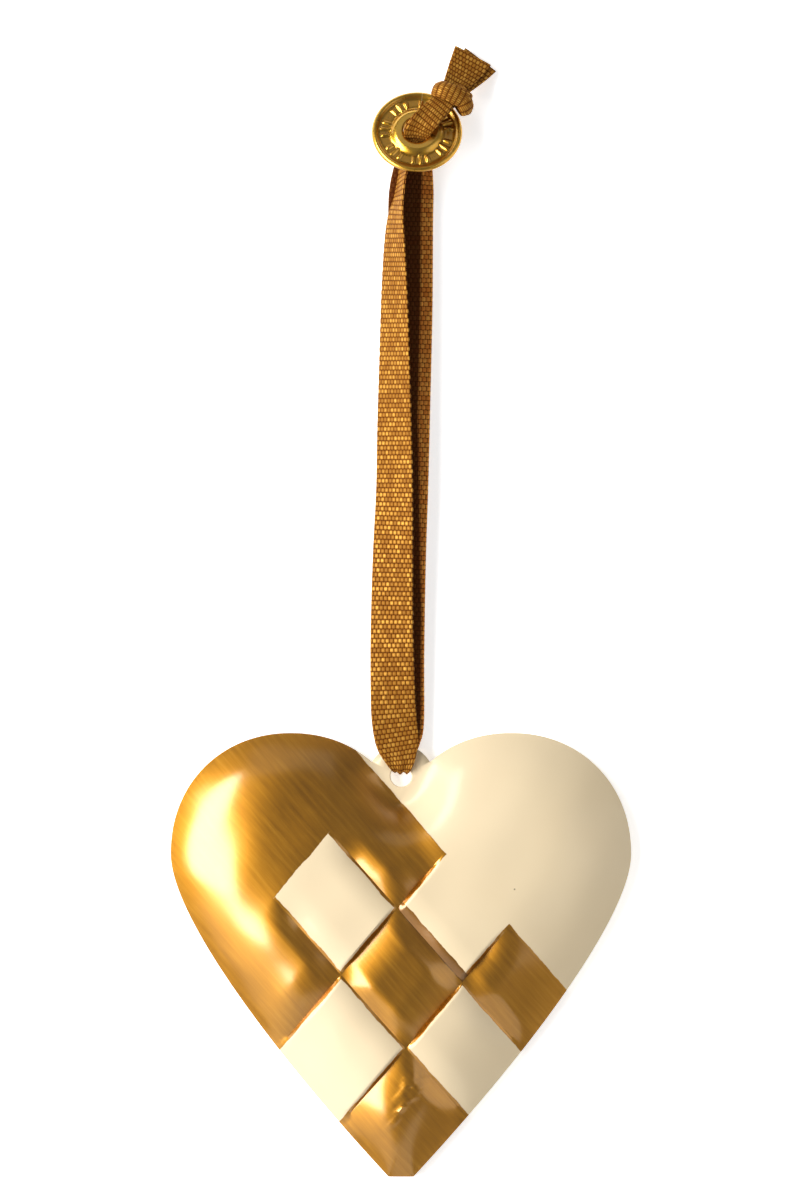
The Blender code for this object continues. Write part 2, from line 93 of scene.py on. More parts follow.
class Value:
    """A shader socket that takes part in Python arithmetic."""

    __add__ = math_method("ADD")
    __radd__ = math_method("ADD", swapped=True)
    __sub__ = math_method("SUBTRACT")
    __rsub__ = math_method("SUBTRACT", swapped=True)
    __mul__ = math_method("MULTIPLY")
    __truediv__ = math_method("DIVIDE")
    __pow__ = math_method("POWER")
    __abs__ = math_method("ABSOLUTE")
    fraction = math_method("FRACT")
    floor = math_method("FLOOR")
    least = math_method("MINIMUM")
    most = math_method("MAXIMUM")

    def __init__(self, shader: "Shader", socket: bpy.types.NodeSocket | None) -> None:
        """Keep the socket and the shader that it belongs to."""
        self.shader = shader
        self.socket = socket

    def math(self, operation: str, *inputs: "Value | float", clamp: bool = False) -> "Value":
        """Return a Math node's result.

        Args:
            operation: name of the Math node's operation.
            inputs: values or sockets in the node's order.
            clamp: whether the result is held between 0 and 1.

        Returns:
            The node's output.
        """
        settings = {"operation": operation, "use_clamp": clamp}
        return self.shader.node("ShaderNodeMath", settings, dict(enumerate(inputs)))

    def rise(self, start: float, width: float) -> "Value":
        """Return a straight ramp from 0 at start to 1 at start plus width."""
        return self.math("MULTIPLY_ADD", self, 1.0 / width, -start / width, clamp=True)


class Shader:
    """A node material under construction."""

    def __init__(self, name: str) -> None:
        """Start an empty node material of that name."""
        self.material = bpy.data.materials.new(name)
        self.material.use_nodes = True
        self.tree = self.material.node_tree
        self.tree.nodes.clear()

    def node(self, kind: str, settings: dict | None = None, sockets: dict | None = None,
             output: int = 0) -> Value:
        """Add a node.

        Args:
            kind: the node's type name.
            settings: attributes to set first; "stops" holds a ramp's places and colours.
            sockets: input names or numbers with their values or links.
            output: number of the output to return.

        Returns:
            The chosen output, or an empty value where the node has none.
        """
        made = self.tree.nodes.new(kind)
        for key, setting in (settings or {}).items():
            if key == "stops":
                self._set_stops(made, setting)
            else:
                setattr(made, key, setting)
        for key, value in (sockets or {}).items():
            if isinstance(value, Value):
                self.tree.links.new(value.socket, made.inputs[key])
            else:
                made.inputs[key].default_value = value
        return Value(self, made.outputs[output] if len(made.outputs) else None)

    @staticmethod
    def _set_stops(ramp: bpy.types.Node, stops: list[tuple[float, Colour]]) -> None:
        """Give a ramp node its stops."""
        elements = ramp.color_ramp.elements
        while len(elements) < len(stops):
            elements.new(1.0)
        for element, (place, colour) in zip(elements, stops):
            element.position = place
            element.color = (*colour, 1.0)

    def position(self) -> tuple[Value, Value, Value]:
        """Return the three Object coordinates."""
        place = self.node("ShaderNodeTexCoord", output=OBJECT_COORDINATES)
        return self.split(place, 0), self.split(place, 1), self.split(place, 2)

    def split(self, place: Value, axis: int) -> Value:
        """Return one coordinate of a place."""
        return self.node("ShaderNodeSeparateXYZ", None, {0: place}, axis)

    def vector(self, x: Value | float, y: Value | float, z: Value | float) -> Value:
        """Return a vector of three values."""
        return self.node("ShaderNodeCombineXYZ", None, {0: x, 1: y, 2: z})

    def noise(self, place: Value, scale: float, detail: float = 2.0,
              roughness: float = 0.5) -> Value:
        """Return smooth noise between about 0 and 1 at a place."""
        sockets = {"Vector": place, "Scale": scale, "Detail": detail, "Roughness": roughness}
        return self.node("ShaderNodeTexNoise", None, sockets)

    def ramp(self, factor: Value, stops: list[tuple[float, Colour]]) -> Value:
        """Return a colour read from a ramp."""
        return self.node("ShaderNodeValToRGB", {"stops": stops}, {0: factor})

    def blend(self, factor: Value | float, *pair: "Value | Colour") -> Value:
        """Return the mix of two colours: the first where the factor is 0, the second where 1."""
        first, second = (item if isinstance(item, Value) else (*item, 1.0) for item in pair)
        return self.node("ShaderNodeMix", {"data_type": "RGBA", "clamp_factor": True},
                         {0: factor, MIX_FIRST: first, MIX_SECOND: second}, MIX_RESULT)

    def bump(self, height: Value, distance: float, strength: float = 1.0) -> Value:
        """Return a normal raised by a height in units of the distance."""
        return self.node("ShaderNodeBump", None,
                         {"Height": height, "Distance": distance, "Strength": strength})

    def close(self, sockets: dict) -> Material:
        """Feed a Principled shader and finish the material.

        Args:
            sockets: input names of the Principled shader with values or links.

        Returns:
            The finished material.
        """
        surface = self.node("ShaderNodeBsdfPrincipled", None, sockets)
        self.node("ShaderNodeOutputMaterial", None, {"Surface": surface})
        return self.material


def smooth_step(value: Array) -> Array:
    """Return 0 below 0, 1 above 1 and three squares less two cubes between."""
    share = np.clip(value, 0.0, 1.0)
    return share * share * (3.0 - 2.0 * share)


def signed_power(value: Array, power: float) -> Array:
    """Return a power of the size with the value's own sign."""
    return np.sign(value) * np.abs(value) ** power


def row_lengths(rows: Array) -> Array:
    """Return the length of each row."""
    return np.linalg.norm(rows, axis=1)


def unit_rows(rows: Array) -> Array:
    """Return the rows scaled to length one."""
    return rows / row_lengths(rows)[:, None]


def full_turn(count: int) -> Array:
    """Return evenly spaced angles all the way round."""
    return np.linspace(0.0, 2.0 * math.pi, count, endpoint=False)


def on_circle(angle: Array) -> Array:
    """Return points of the unit circle, anticlockwise from +X."""
    return np.stack((np.cos(angle), np.sin(angle)), axis=-1)


def running_length(points: Array) -> Array:
    """Return the length of a line up to each of its points."""
    return np.concatenate(([0.0], np.cumsum(row_lengths(np.diff(points, axis=0)))))


def make_mesh(name: str, points: Array, faces: Array, uvs: Array | None = None) -> Item:
    """Store whole arrays as a smooth-shaded mesh object in the scene.

    Args:
        name: the object's name.
        points: one row of three coordinates a vertex.
        faces: one row of vertex numbers a face.
        uvs: one row of two coordinates a vertex, for a map named weave.

    Returns:
        The new object, at the origin.
    """
    mesh = bpy.data.meshes.new(name)
    mesh.from_pydata(points.tolist(), [], faces.tolist())
    if uvs is not None:
        layer = mesh.uv_layers.new(name="weave")
        layer.data.foreach_set("uv", uvs[faces.reshape(-1)].astype(np.float32).reshape(-1))
    mesh.shade_smooth()
    mesh.validate()
    item = bpy.data.objects.new(name, mesh)
    bpy.context.scene.collection.objects.link(item)
    return item


def report_piece(item: Item) -> None:
    """Log a piece's name and the number of its vertices and faces."""
    mesh = item.data
    LOG.info("%s: %d vertices, %d faces", item.name, len(mesh.vertices), len(mesh.polygons))


@dataclass(frozen=True)
class StripWeave:
    """Three gold strips woven through three cream strips.

    Gold strips run down to the right and cream strips down to the left, from one corner. Places
    across the strips are measured along the other set's direction. Each end and side of a strip
    has the width of its slope and the slope's power.
    """

    corner: Pair = (-0.0048, 0.0379)
    gold_angle: float = math.radians(48.6)
    cream_angle: float = math.radians(49.7)
    cream_start: float = 0.0013
    cream_widths: Triple = (0.0204, 0.0196, 0.0200)
    gold_start: float = 0.0012
    gold_widths: Triple = (0.0147, 0.0174, 0.0220)
    depth: float = 0.0016
    fade: float = 0.0085
    gold_end: Pair = (0.0070, 1.7)
    gold_side: Pair = (0.0038, 1.3)
    cream_end: Pair = (0.0058, 2.0)
    cream_side: Pair = (0.0010, 1.5)
    paint_overlap: float = 0.00045
    bevel_lap: float = 0.0018

    def gold_lines(self) -> Array:
        """Return the lines between cream strips, as places along the gold strips."""
        return self.cream_start + np.concatenate(([0.0], np.cumsum(self.cream_widths)))

    def cream_lines(self) -> Array:
        """Return the lines between gold strips, as places along the cream strips."""
        return self.gold_start + np.concatenate(([0.0], np.cumsum(self.gold_widths)))

    def axes(self) -> Array:
        """Return the gold and the cream direction as the two columns of a matrix."""
        return np.array(((math.cos(self.gold_angle), -math.cos(self.cream_angle)),
                         (-math.sin(self.gold_angle), -math.sin(self.cream_angle))))

    def runs(self, points: Array) -> tuple[Array, Array]:
        """Return how far points lie along the gold and along the cream strips."""
        local = (points - np.array(self.corner)) @ np.linalg.inv(self.axes()).T
        return local[:, 0], local[:, 1]

    def places(self, gold_run: Array, cream_run: Array) -> Array:
        """Return the points at given places along both sets of strips."""
        return np.array(self.corner) + np.stack((gold_run, cream_run), axis=-1) @ self.axes().T

    def side_share(self, distance: Array, side: Pair, along: Array, low: float,
                   high: float, opens_low: bool) -> Array:
        """Return one side of a groove.

        The share is one less distance over width, to the side's power. It fades along the line
        towards a lobe, where the groove opens.

        Args:
            distance: distances from the line on this side.
            side: width and power of this side.
            along: places along the line.
            low: start of the line's stretch beside this strip.
            high: end of that stretch.
            opens_low: whether the groove fades towards its start.

        Returns:
            The depth share, 0 where no groove is.
        """
        width, power = side
        share = np.clip(1.0 - distance / width, 0.0, 1.0) ** power
        share = np.where((along >= low) & (along <= high) & (distance >= 0.0), share, 0.0)
        if opens_low:
            share = share * smooth_step((along - low) / self.fade)
        return share

    def what_grooves_leave(self, run: Array, along: Array, lines: Array, ends: Array,
                           crosses_gold: bool) -> Array:
        """Return one minus each groove side's share, multiplied, for one set of lines.

        A strip that dives under its neighbour rolls down over a wide end. A gold strip's side
        edge is bevelled and a cream strip's is crisp.
        """
        left = np.ones_like(run)
        for strip in (1, 2, 3):
            for line in (1, 2):
                for direction, cell in ((-1.0, line), (1.0, line + 1)):
                    gold = (strip + cell) % 2 == 0
                    if crosses_gold:
                        side = self.gold_end if gold else self.cream_side
                    else:
                        side = self.gold_side if gold else self.cream_end
                    left *= 1.0 - self.side_share(direction * (run - lines[line]), side, along,
                                                  ends[strip - 1], ends[strip], strip == 1)
        return left

    def groove_depth(self, gold_run: Array, cream_run: Array) -> Array:
        """Return how deep the grooves lie under the dome: depth times one less what they leave."""
        gold, cream = self.gold_lines(), self.cream_lines()
        left = self.what_grooves_leave(gold_run, cream_run, gold, cream, True)
        left *= self.what_grooves_leave(cream_run, gold_run, cream, gold, False)
        return self.depth * (1.0 - left)

    def paint_mask(self, gold_run: Value, cream_run: Value, soft: float) -> Value:
        """Return 1 where gold paint shows and 0 on cream.

        Each line adds one flip of colour, so the cells alternate; before the first line across
        the gold strips all is gold, and before the first across the cream strips all is cream.
        Gold paint also fills the bottom of every groove and laps onto its cream side.
        """
        gold_lines = self.gold_lines()
        cream_lines = self.cream_lines()
        across = [gold_run.rise(line - soft / 2, soft) for line in gold_lines[:3]]
        down = [cream_run.rise(line - soft / 2, soft) for line in cream_lines[:3]]
        flips = across[1] + across[2] + down[1] + down[2]
        cream_cells = flips.math("PINGPONG", flips, 1.0)
        plain = down[0] * (1.0 - across[0] * cream_cells)
        to_gold_line = abs(gold_run - gold_lines[1]).least(abs(gold_run - gold_lines[2]))
        to_cream_line = abs(cream_run - cream_lines[1]).least(abs(cream_run - cream_lines[2]))
        near_gold = (1.0 - to_gold_line.rise(self.paint_overlap, soft)) * down[0]
        near_cream = (1.0 - to_cream_line.rise(self.paint_overlap, soft)) * across[0]
        return plain.most(near_gold.most(near_cream.most(self.lap_and_shade_mask(gold_run, cream_run, soft))))

    def lap_and_shade_mask(self, gold_run: Value, cream_run: Value, soft: float) -> Value:
        """Return 1 on the gold paint lapped onto the lobe beside the middle cell, a band also
        darkened as painted shade.
        """
        start, end = self.gold_lines()[1:3]
        line = self.cream_lines()[1]
        beside = gold_run.rise(start - soft, soft) * (1.0 - gold_run.rise(end, soft))
        across = cream_run.rise(line - self.bevel_lap, soft) * (1.0 - cream_run.rise(line, soft))
        return across * beside

    def shader_runs(self, x: Value, y: Value) -> tuple[Value, Value]:
        """Return the places along both sets of strips as sockets."""
        turn = np.linalg.inv(self.axes())
        dx = x - self.corner[0]
        dy = y - self.corner[1]
        gold = dx * float(turn[0, 0]) + dy * float(turn[0, 1])
        cream = dx * float(turn[1, 0]) + dy * float(turn[1, 1])
        return gold, cream


@dataclass(frozen=True)
class HeartOutline:
    """The heart's outline: two slightly square ellipses, curved sides, a blunt tip and a lug."""

    length: float = 0.0886
    lobe_half_width: float = 0.0240
    lobe_half_height: float = 0.0241
    lobe_spacing: float = 0.0440
    squareness: float = 2.10
    start_handle: float = 0.0122
    end_handle: float = 0.0345
    tip_half_width: float = 0.0025
    tip_slope: float = math.radians(47.1)
    lug_radius: float = 0.0066
    lug_depth: float = 0.0090
    hole_radius: float = 0.0021
    hole_rise: float = 0.0004

    def lug_centre(self) -> Array:
        """Return the middle of the lug."""
        return np.array((0.0, self.length / 2 - self.lug_depth))

    def hole_centre(self) -> Array:
        """Return the middle of the lug's hole."""
        return self.lug_centre() + np.array((0.0, self.hole_rise))

    def lobe(self, angle: Array) -> Array:
        """Return points of the right lobe: its half sizes times cosine and sine to a power."""
        power = 2.0 / self.squareness
        x = self.lobe_spacing / 2 + self.lobe_half_width * signed_power(np.cos(angle), power)
        rise = self.lobe_half_height * signed_power(np.sin(angle), power)
        return np.stack((x, self.length / 2 - self.lobe_half_height + rise), axis=-1)

    def side(self, count: int) -> Array:
        """Return the right side from the widest point to the tip, a cubic curve."""
        t = np.linspace(0.0, 1.0, count + 1)[:, None]
        start = self.lobe(np.array([0.0]))[0]
        end = np.array((self.tip_half_width, -self.length / 2))
        first = start - np.array((0.0, self.start_handle))
        slope = np.array((math.cos(self.tip_slope), math.sin(self.tip_slope)))
        second = end + self.end_handle * slope
        s = 1.0 - t
        return s ** 3 * start + 3 * s * s * t * first + 3 * s * t * t * second + t ** 3 * end

    def inner_angle(self, past: Callable[[Array], Array]) -> float:
        """Return the first lobe angle past the top whose point passes a test."""
        angles = np.radians(np.linspace(90.0, 179.0, 4001))
        return float(angles[np.argmax(past(self.lobe(angles)))])

    def half(self, start: float, lobe_steps: int, side_steps: int) -> Array:
        """Return the right half clockwise from a lobe angle to the tip."""
        angles = start * (1.0 - np.arange(lobe_steps) / lobe_steps)
        return np.vstack((self.lobe(angles), self.side(side_steps)))

    def bare(self, lobe_steps: int = 90, side_steps: int = 60) -> Array:
        """Return the outline without the lug, clockwise from the cleft."""
        right = self.half(self.inner_angle(lambda point: point[:, 0] < 0.0), lobe_steps, side_steps)
        return np.vstack((right, right[:0:-1] * (-1.0, 1.0)))

    def full(self, lobe_steps: int, side_steps: int, lug_steps: int) -> tuple[Array, int]:
        """Return the outline with the lug, clockwise.

        Args:
            lobe_steps: points on each lobe.
            side_steps: points on each side.
            lug_steps: stretches round the lug.

        Returns:
            The points, and how many of them are off the lug.
        """
        centre = self.lug_centre()
        meet = self.inner_angle(lambda point: row_lengths(point - centre) < self.lug_radius)
        right = self.half(meet, lobe_steps, side_steps)
        body = np.vstack((right, right[::-1] * (-1.0, 1.0)))
        start = math.atan2(body[0, 1] - centre[1], body[0, 0] - centre[0])
        turn = np.linspace(math.pi - start, start, lug_steps + 1)[1:-1]
        arc = centre + self.lug_radius * on_circle(turn)
        return np.vstack((body, arc)), len(body)

    @staticmethod
    def soft_distance(points: Array, outline: Array) -> Array:
        """Return a smooth distance to a closed outline.

        Along each straight piece the inverse cube of the distance is summed, which has a closed
        form; two over the total is the square of the distance.
        """
        along = np.roll(outline, -1, axis=0) - outline
        length = row_lengths(along)
        along = along / length[:, None]
        results = []
        for part in np.array_split(points, max(1, len(points) // 3000)):
            offset = part[:, None, :] - outline[None, :, :]
            run = offset[:, :, 0] * along[:, 0] + offset[:, :, 1] * along[:, 1]
            height = offset[:, :, 0] * along[:, 1] - offset[:, :, 1] * along[:, 0]
            square = height ** 2 + 1e-12
            near = run / np.sqrt(square + run ** 2)
            far = (run - length) / np.sqrt(square + (run - length) ** 2)
            total = ((near - far) / square).sum(axis=1)
            results.append(np.sqrt(2.0 / np.maximum(total, 1e-3)))
        return np.concatenate(results)

    @staticmethod
    def inside(points: Array, outline: Array) -> Array:
        """Return which points lie in a closed outline, by counting the crossings to one side."""
        after = np.roll(outline, -1, axis=0)
        rise = np.where(after[:, 1] == outline[:, 1], 1e-12, after[:, 1] - outline[:, 1])
        results = []
        for part in np.array_split(points, max(1, len(points) // 6000)):
            y = part[:, 1:2]
            spans = (outline[:, 1] > y) != (after[:, 1] > y)
            crossing = outline[:, 0] + (y - outline[:, 1]) * (after[:, 0] - outline[:, 0]) / rise
            results.append((np.logical_and(spans, part[:, 0:1] < crossing).sum(axis=1) % 2) == 1)
        return np.concatenate(results)


@dataclass(frozen=True)
class WovenPaint:
    """Brushed gold paint on the gold strips and glossy cream enamel on the rest.

    The edge's noise has a scale, a detail and a roughness. Streaks and grain have their scales
    along and across the gold strips.
    """

    gold_dark: Colour = (0.38, 0.165, 0.005)
    gold: Colour = (0.54, 0.265, 0.014)
    gold_light: Colour = (0.70, 0.400, 0.050)
    painted_bevel_shade: Colour = (0.20, 0.085, 0.002)
    cream: Colour = (0.83, 0.710, 0.510)
    cream_shade: Colour = (0.80, 0.670, 0.470)
    speck_and_rim_shade: Colour = (0.16, 0.12, 0.07)
    gold_roughness: float = 0.43
    cream_roughness: float = 0.20
    edge_noise: Triple = (210.0, 4.0, 0.6)
    edge_wobble: float = 0.0010
    edge_softness: float = 0.00012
    edge_dark: float = 0.35
    lap_shade_strength: float = 0.8
    streak_scale: Pair = (90.0, 1300.0)
    grain_scale: Pair = (200.0, 3600.0)
    coat_roughness: float = 0.20
    coat_index: float = 1.90
    reflection: float = 0.22
    speck_scale: float = 85.0
    speck_radius: float = 0.014

    def material(self, weave: StripWeave, rim_height: float) -> Material:
        """Return the painted face's material."""
        shader = Shader("woven_paint")
        x, y, z = shader.position()
        gold_run, cream_run = weave.shader_runs(x, y)
        place = shader.vector(x, y, 0.0)
        wobble = (shader.noise(place, *self.edge_noise) - 0.5) * self.edge_wobble
        turned = shader.vector(y, x, 0.01)
        sway = (shader.noise(turned, *self.edge_noise) - 0.5) * self.edge_wobble
        edges = (gold_run + wobble, cream_run + sway, self.edge_softness)
        mask = weave.paint_mask(*edges)
        streaks = self.brushed(shader, gold_run, cream_run, self.streak_scale, 3.0, 0.6)
        fine = self.brushed(shader, gold_run, cream_run, self.grain_scale, 2.0, 0.5)
        body = shader.blend(mask, self.enamel(shader, place), self.gilding(shader, place, streaks))
        edge = mask * (1.0 - mask) * 2.6
        body = shader.blend(edge * self.edge_dark, body, self.gold_dark)
        # Painted shade: the lapped band is darkened towards deep brown as the bevel's shade.
        body = shader.blend(weave.lap_and_shade_mask(*edges) * self.lap_shade_strength, body, self.painted_bevel_shade)
        # Painted shade: the foot of the rim is darkened towards the speck colour.
        painted_rim_shade = 1.0 - z.rise(rim_height * 0.35, rim_height * 0.5)
        body = shader.blend(painted_rim_shade * 0.4, body, self.speck_and_rim_shade)
        rough = mask * (streaks * 0.14 + (self.gold_roughness - 0.07) - self.cream_roughness)
        rough = rough + self.cream_roughness + shader.noise(place, 500.0) * 0.05
        height = mask * (streaks * 0.3 + fine * 0.12 + 0.8)
        height = height + shader.noise(place, 400.0, 1.0) * 0.08
        return shader.close({
            "Base Color": body, "Roughness": rough, "Metallic": mask,
            "Coat Weight": 0.08 + mask * 0.92, "Coat Roughness": self.coat_roughness,
            "Coat IOR": self.coat_index, "Specular IOR Level": self.reflection,
            "Normal": shader.bump(height, 0.00002, 0.9),
        })

    @staticmethod
    def brushed(shader: Shader, gold_run: Value, cream_run: Value, scale: Pair,
                detail: float, roughness: float) -> Value:
        """Return noise drawn out along the gold strips."""
        place = shader.vector(gold_run * scale[0], cream_run * scale[1], 0.0)
        return shader.noise(place, 1.0, detail, roughness)

    def gilding(self, shader: Shader, place: Value, streaks: Value) -> Value:
        """Return the gold's colour, streaked and broadly uneven."""
        tone = streaks * 0.75 + shader.noise(place, 45.0) * 0.25
        stops = [(0.05, self.gold_dark), (0.52, self.gold), (1.0, self.gold_light)]
        return shader.ramp(tone, stops)

    def enamel(self, shader: Shader, place: Value) -> Value:
        """Return the cream enamel's colour with its few specks."""
        cream = shader.blend(shader.noise(place, 60.0, 3.0), self.cream, self.cream_shade)
        return shader.blend(self.specks(shader, place), cream, self.speck_and_rim_shade)

    def specks(self, shader: Shader, place: Value) -> Value:
        """Return a few small dark specks, one in some of the cells of a coarse net."""
        cell = {"Vector": place, "Scale": self.speck_scale}
        distance = shader.node("ShaderNodeTexVoronoi", None, cell, 0)
        tint = shader.node("ShaderNodeTexVoronoi", None, cell, 1)
        pick = shader.node("ShaderNodeSeparateColor", None, {0: tint}, 0)
        return (1.0 - distance.rise(self.speck_radius, 0.012)) * pick.rise(0.72, 0.02)

    def back(self) -> Material:
        """Return the plainer finish inside the hollow back."""
        shader = Shader("back_enamel")
        x, y, z = shader.position()
        place = shader.vector(x, y, z)
        cloud = shader.noise(place, 120.0, 4.0)
        grain = shader.noise(place, 600.0, 3.0)
        body = shader.ramp(cloud, [(0.3, self.cream_shade), (0.7, self.cream)])
        return shader.close({"Base Color": body, "Roughness": cloud * 0.2 + 0.3,
                             "Normal": shader.bump(grain, 0.00005)})


# The wrinkles' place across, shift along, reach along and bend.
RIDGE_LINES = (
    (-0.0014, 0.0030, 0.0030, 55.0),
    (-0.0004, 0.0000, 0.0048, 40.0),
    (0.0006, 0.0030, 0.0044, 62.0),
    (0.0015, 0.0044, 0.0032, 30.0),
    (-0.0006, 0.0056, 0.0020, 90.0),
    (0.0024, 0.0058, 0.0018, 70.0),
)

# The sheet's waves: turns along X and Y in radians a metre, phase and share of the dent.
DENT_WAVES = (
    (310.0, 140.0, 0.7, 1.0),
    (-190.0, 370.0, 2.1, 1.0),
    (520.0, -260.0, 4.0, 0.6),
    (90.0, 610.0, 1.3, 0.5),
)


@dataclass(frozen=True)
class PressedHeart:
    """The pressed sheet heart: dome, turned-down rim, lug and woven relief.

    The sheet's points lie on a grid along the strips, in rows that follow the rim and in rings
    round the hole. Steps and the grid's margin are in millimetres, rim levels are shares of the
    rim's height, and the rings and the clear space round the hole are in hole radii.
    """

    outline: HeartOutline = HeartOutline()
    weave: StripWeave = StripWeave()
    paint: WovenPaint = WovenPaint()
    wall: float = 0.0007
    rim_height: float = 0.0022
    dome_rise: float = 0.0088
    dome_shoulder: float = 0.0215
    dome_roundness: float = 2.1
    lug_flat: float = 0.0024
    lug_blend: float = 0.0045
    relief_margin: float = 0.0045
    dent: float = 0.00006
    ridge_place: Pair = (0.0006, -0.0302)
    ridge_angle: float = math.radians(69.0)
    ridge_height: float = 0.00026
    ridge_width: float = 0.00030
    groove_steps: tuple[float, ...] = (0.0, 0.1, 0.22, 0.36, 0.52, 0.72, 0.95, 1.2, 1.5)
    rim_steps: tuple[float, ...] = (0.2, 0.45, 0.75, 1.1, 1.5, 1.95, 2.45)
    rim_levels: tuple[float, ...] = (0.6, 0.25, 0.0)
    hole_rings: tuple[float, ...] = (1.12, 1.3, 1.55, 1.85)
    hole_clear: float = 2.2
    grid_margin: float = 2.9
    outline_steps: tuple[int, int, int] = (110, 130, 60)
    hole_steps: int = 72
    sharp_angle: float = math.radians(38.0)

    def ridges(self, points: Array) -> Array:
        """Return the height of the wrinkled paint on the tip's cell.

        Six bent lines lie side by side; each is a bell curve across its line and a wider bell
        curve along it.
        """
        along_axis = np.array((math.cos(self.ridge_angle), math.sin(self.ridge_angle)))
        across_axis = np.array((along_axis[1], -along_axis[0]))
        offset = points - np.array(self.ridge_place)
        along = offset @ along_axis
        across = offset @ across_axis
        total = np.zeros(len(points))
        for place, shift, reach, bend in RIDGE_LINES:
            line = place - bend * (along - shift) ** 2
            total += (np.exp(-((across - line) / self.ridge_width) ** 2)
                      * np.exp(-((along - shift) / reach) ** 4))
        return self.ridge_height * total

    def dents(self, points: Array) -> Array:
        """Return shallow unevenness, a sum of four crossing waves."""
        x, y = points.T
        return self.dent * sum(np.sin(along_x * x + along_y * y + phase) * share
                               for along_x, along_y, phase, share in DENT_WAVES)

    def height(self, points: Array) -> Array:
        """Return the outer face's height.

        The rim's height plus one minus a power of the shoulder share that is left, less the
        grooves, held down round the lug's hole by a bell curve.
        """
        bare = self.outline.bare()
        reach = np.where(self.outline.inside(points, bare),
                         self.outline.soft_distance(points, bare), 0.0)
        share = np.clip(reach / self.dome_shoulder, 0.0, 1.0)
        dome = self.dome_rise * (1.0 - (1.0 - share) ** self.dome_roundness)
        from_hole = row_lengths(points - self.outline.hole_centre())
        past_flat = np.clip(from_hole - self.lug_flat, 0.0, None)
        lug_fade = 1.0 - np.exp(-(past_flat / self.lug_blend) ** 2)
        margin = 1.0 - np.exp(-reach / self.relief_margin)
        grooves = self.weave.groove_depth(*self.weave.runs(points)) * margin
        detail = (self.ridges(points) + self.dents(points)) * smooth_step(reach / 0.005)
        return self.rim_height + (dome - grooves + detail) * lug_fade

    def grid_lines(self, edges: Array) -> Array:
        """Return grid places, close together beside the grooves and wider on the lobes."""
        near = np.array(self.groove_steps) * MM
        lobe = edges[0] - near[-1] - np.arange(1, 60) * 0.75 * MM
        places = [edges[0] - near[1:], lobe, edges[-1:]]
        for low, high in zip(edges[:-1], edges[1:]):
            middle = np.linspace(low + near[-1], high - near[-1], 28)
            places += [low + near[:-1], middle, high - near[1:-1]]
        return np.unique(np.concatenate(places))

    def off_hole(self, points: Array) -> Array:
        """Return the points that lie well away from the lug's hole."""
        from_hole = row_lengths(points - self.outline.hole_centre())
        return points[from_hole > self.hole_clear * self.outline.hole_radius]

    def grid(self, full: Array) -> Array:
        """Return the crossings of the grid along the strips that lie well inside the outline."""
        gold, cream = np.meshgrid(self.grid_lines(self.weave.gold_lines()),
                                  self.grid_lines(self.weave.cream_lines()))
        points = self.weave.places(gold.reshape(-1), cream.reshape(-1))
        points = points[self.outline.inside(points, full)]
        inset = self.outline.soft_distance(points, full)
        return self.off_hole(points[inset > self.grid_margin * MM])

    def rows_inside(self, full: Array, body_count: int) -> Array:
        """Return rows of points that follow the rim a little inside it."""
        ahead = unit_rows(np.roll(full, -1, axis=0) - np.roll(full, 1, axis=0))
        inward = np.stack((ahead[:, 1], -ahead[:, 0]), axis=-1)
        rows = []
        for inset in self.rim_steps:
            row = (full + inset * MM * inward)[1:body_count - 1]
            row = row[self.outline.inside(row, full)]
            rows.append(row[self.outline.soft_distance(row, full) > 0.8 * inset * MM])
        return self.off_hole(np.vstack(rows))

    def sheet(self) -> tuple[Array, Array]:
        """Return the points and triangles of the outer face with its turned-down rim."""
        full, body_count = self.outline.full(*self.outline_steps)
        circle = on_circle(full_turn(self.hole_steps))
        hole = self.outline.hole_centre() + self.outline.hole_radius * circle
        rings = [self.outline.hole_centre() + self.outline.hole_radius * size * circle
                 for size in self.hole_rings]
        rows = self.rows_inside(full, body_count)
        points = np.vstack([full, hole, *rings, rows, self.grid(full)])
        count = len(full)
        edges = [(index, (index + 1) % count) for index in range(count)]
        edges += [(count + index, count + (index + 1) % len(hole)) for index in range(len(hole))]
        plan, _, triangles, _, _, _ = delaunay_2d_cdt(points.tolist(), edges, [], 0, 1e-8)
        flat = np.array([tuple(point) for point in plan])
        faces = np.array(triangles)
        middles = flat[faces].mean(axis=1)
        faces = faces[self.outline.inside(middles, full) & ~self.outline.inside(middles, hole)]
        solid = np.column_stack((flat, self.height(flat)))
        return self.add_rim(solid, faces)

    def add_rim(self, points: Array, faces: Array) -> tuple[Array, Array]:
        """Add the upright rim under the heart's own edge, which the lug's edge doesn't have."""
        sides = np.vstack((faces[:, (0, 1)], faces[:, (1, 2)], faces[:, (2, 0)]))
        key = sides.min(axis=1) * len(points) + sides.max(axis=1)
        _, first, counts = np.unique(key, return_index=True, return_counts=True)
        border = sides[first[counts == 1]]
        middle = points[border].mean(axis=1)[:, :2]
        from_lug = row_lengths(middle - self.outline.lug_centre())
        border = border[from_lug > self.outline.lug_radius]
        used, index = np.unique(border, return_inverse=True)
        index = index.reshape(border.shape)
        rows = [used]
        total = [points]
        base = len(points)
        for level in self.rim_levels:
            ring = points[used].copy()
            ring[:, 2] = self.rim_height * level
            total.append(ring)
            rows.append(base + np.arange(len(used)))
            base += len(used)
        added = [faces]
        for upper, lower in zip(rows[:-1], rows[1:]):
            start, end = index[:, 0], index[:, 1]
            added.append(np.stack((upper[end], upper[start], lower[start]), axis=-1))
            added.append(np.stack((upper[end], lower[start], lower[end]), axis=-1))
        return np.vstack(total), np.vstack(added)

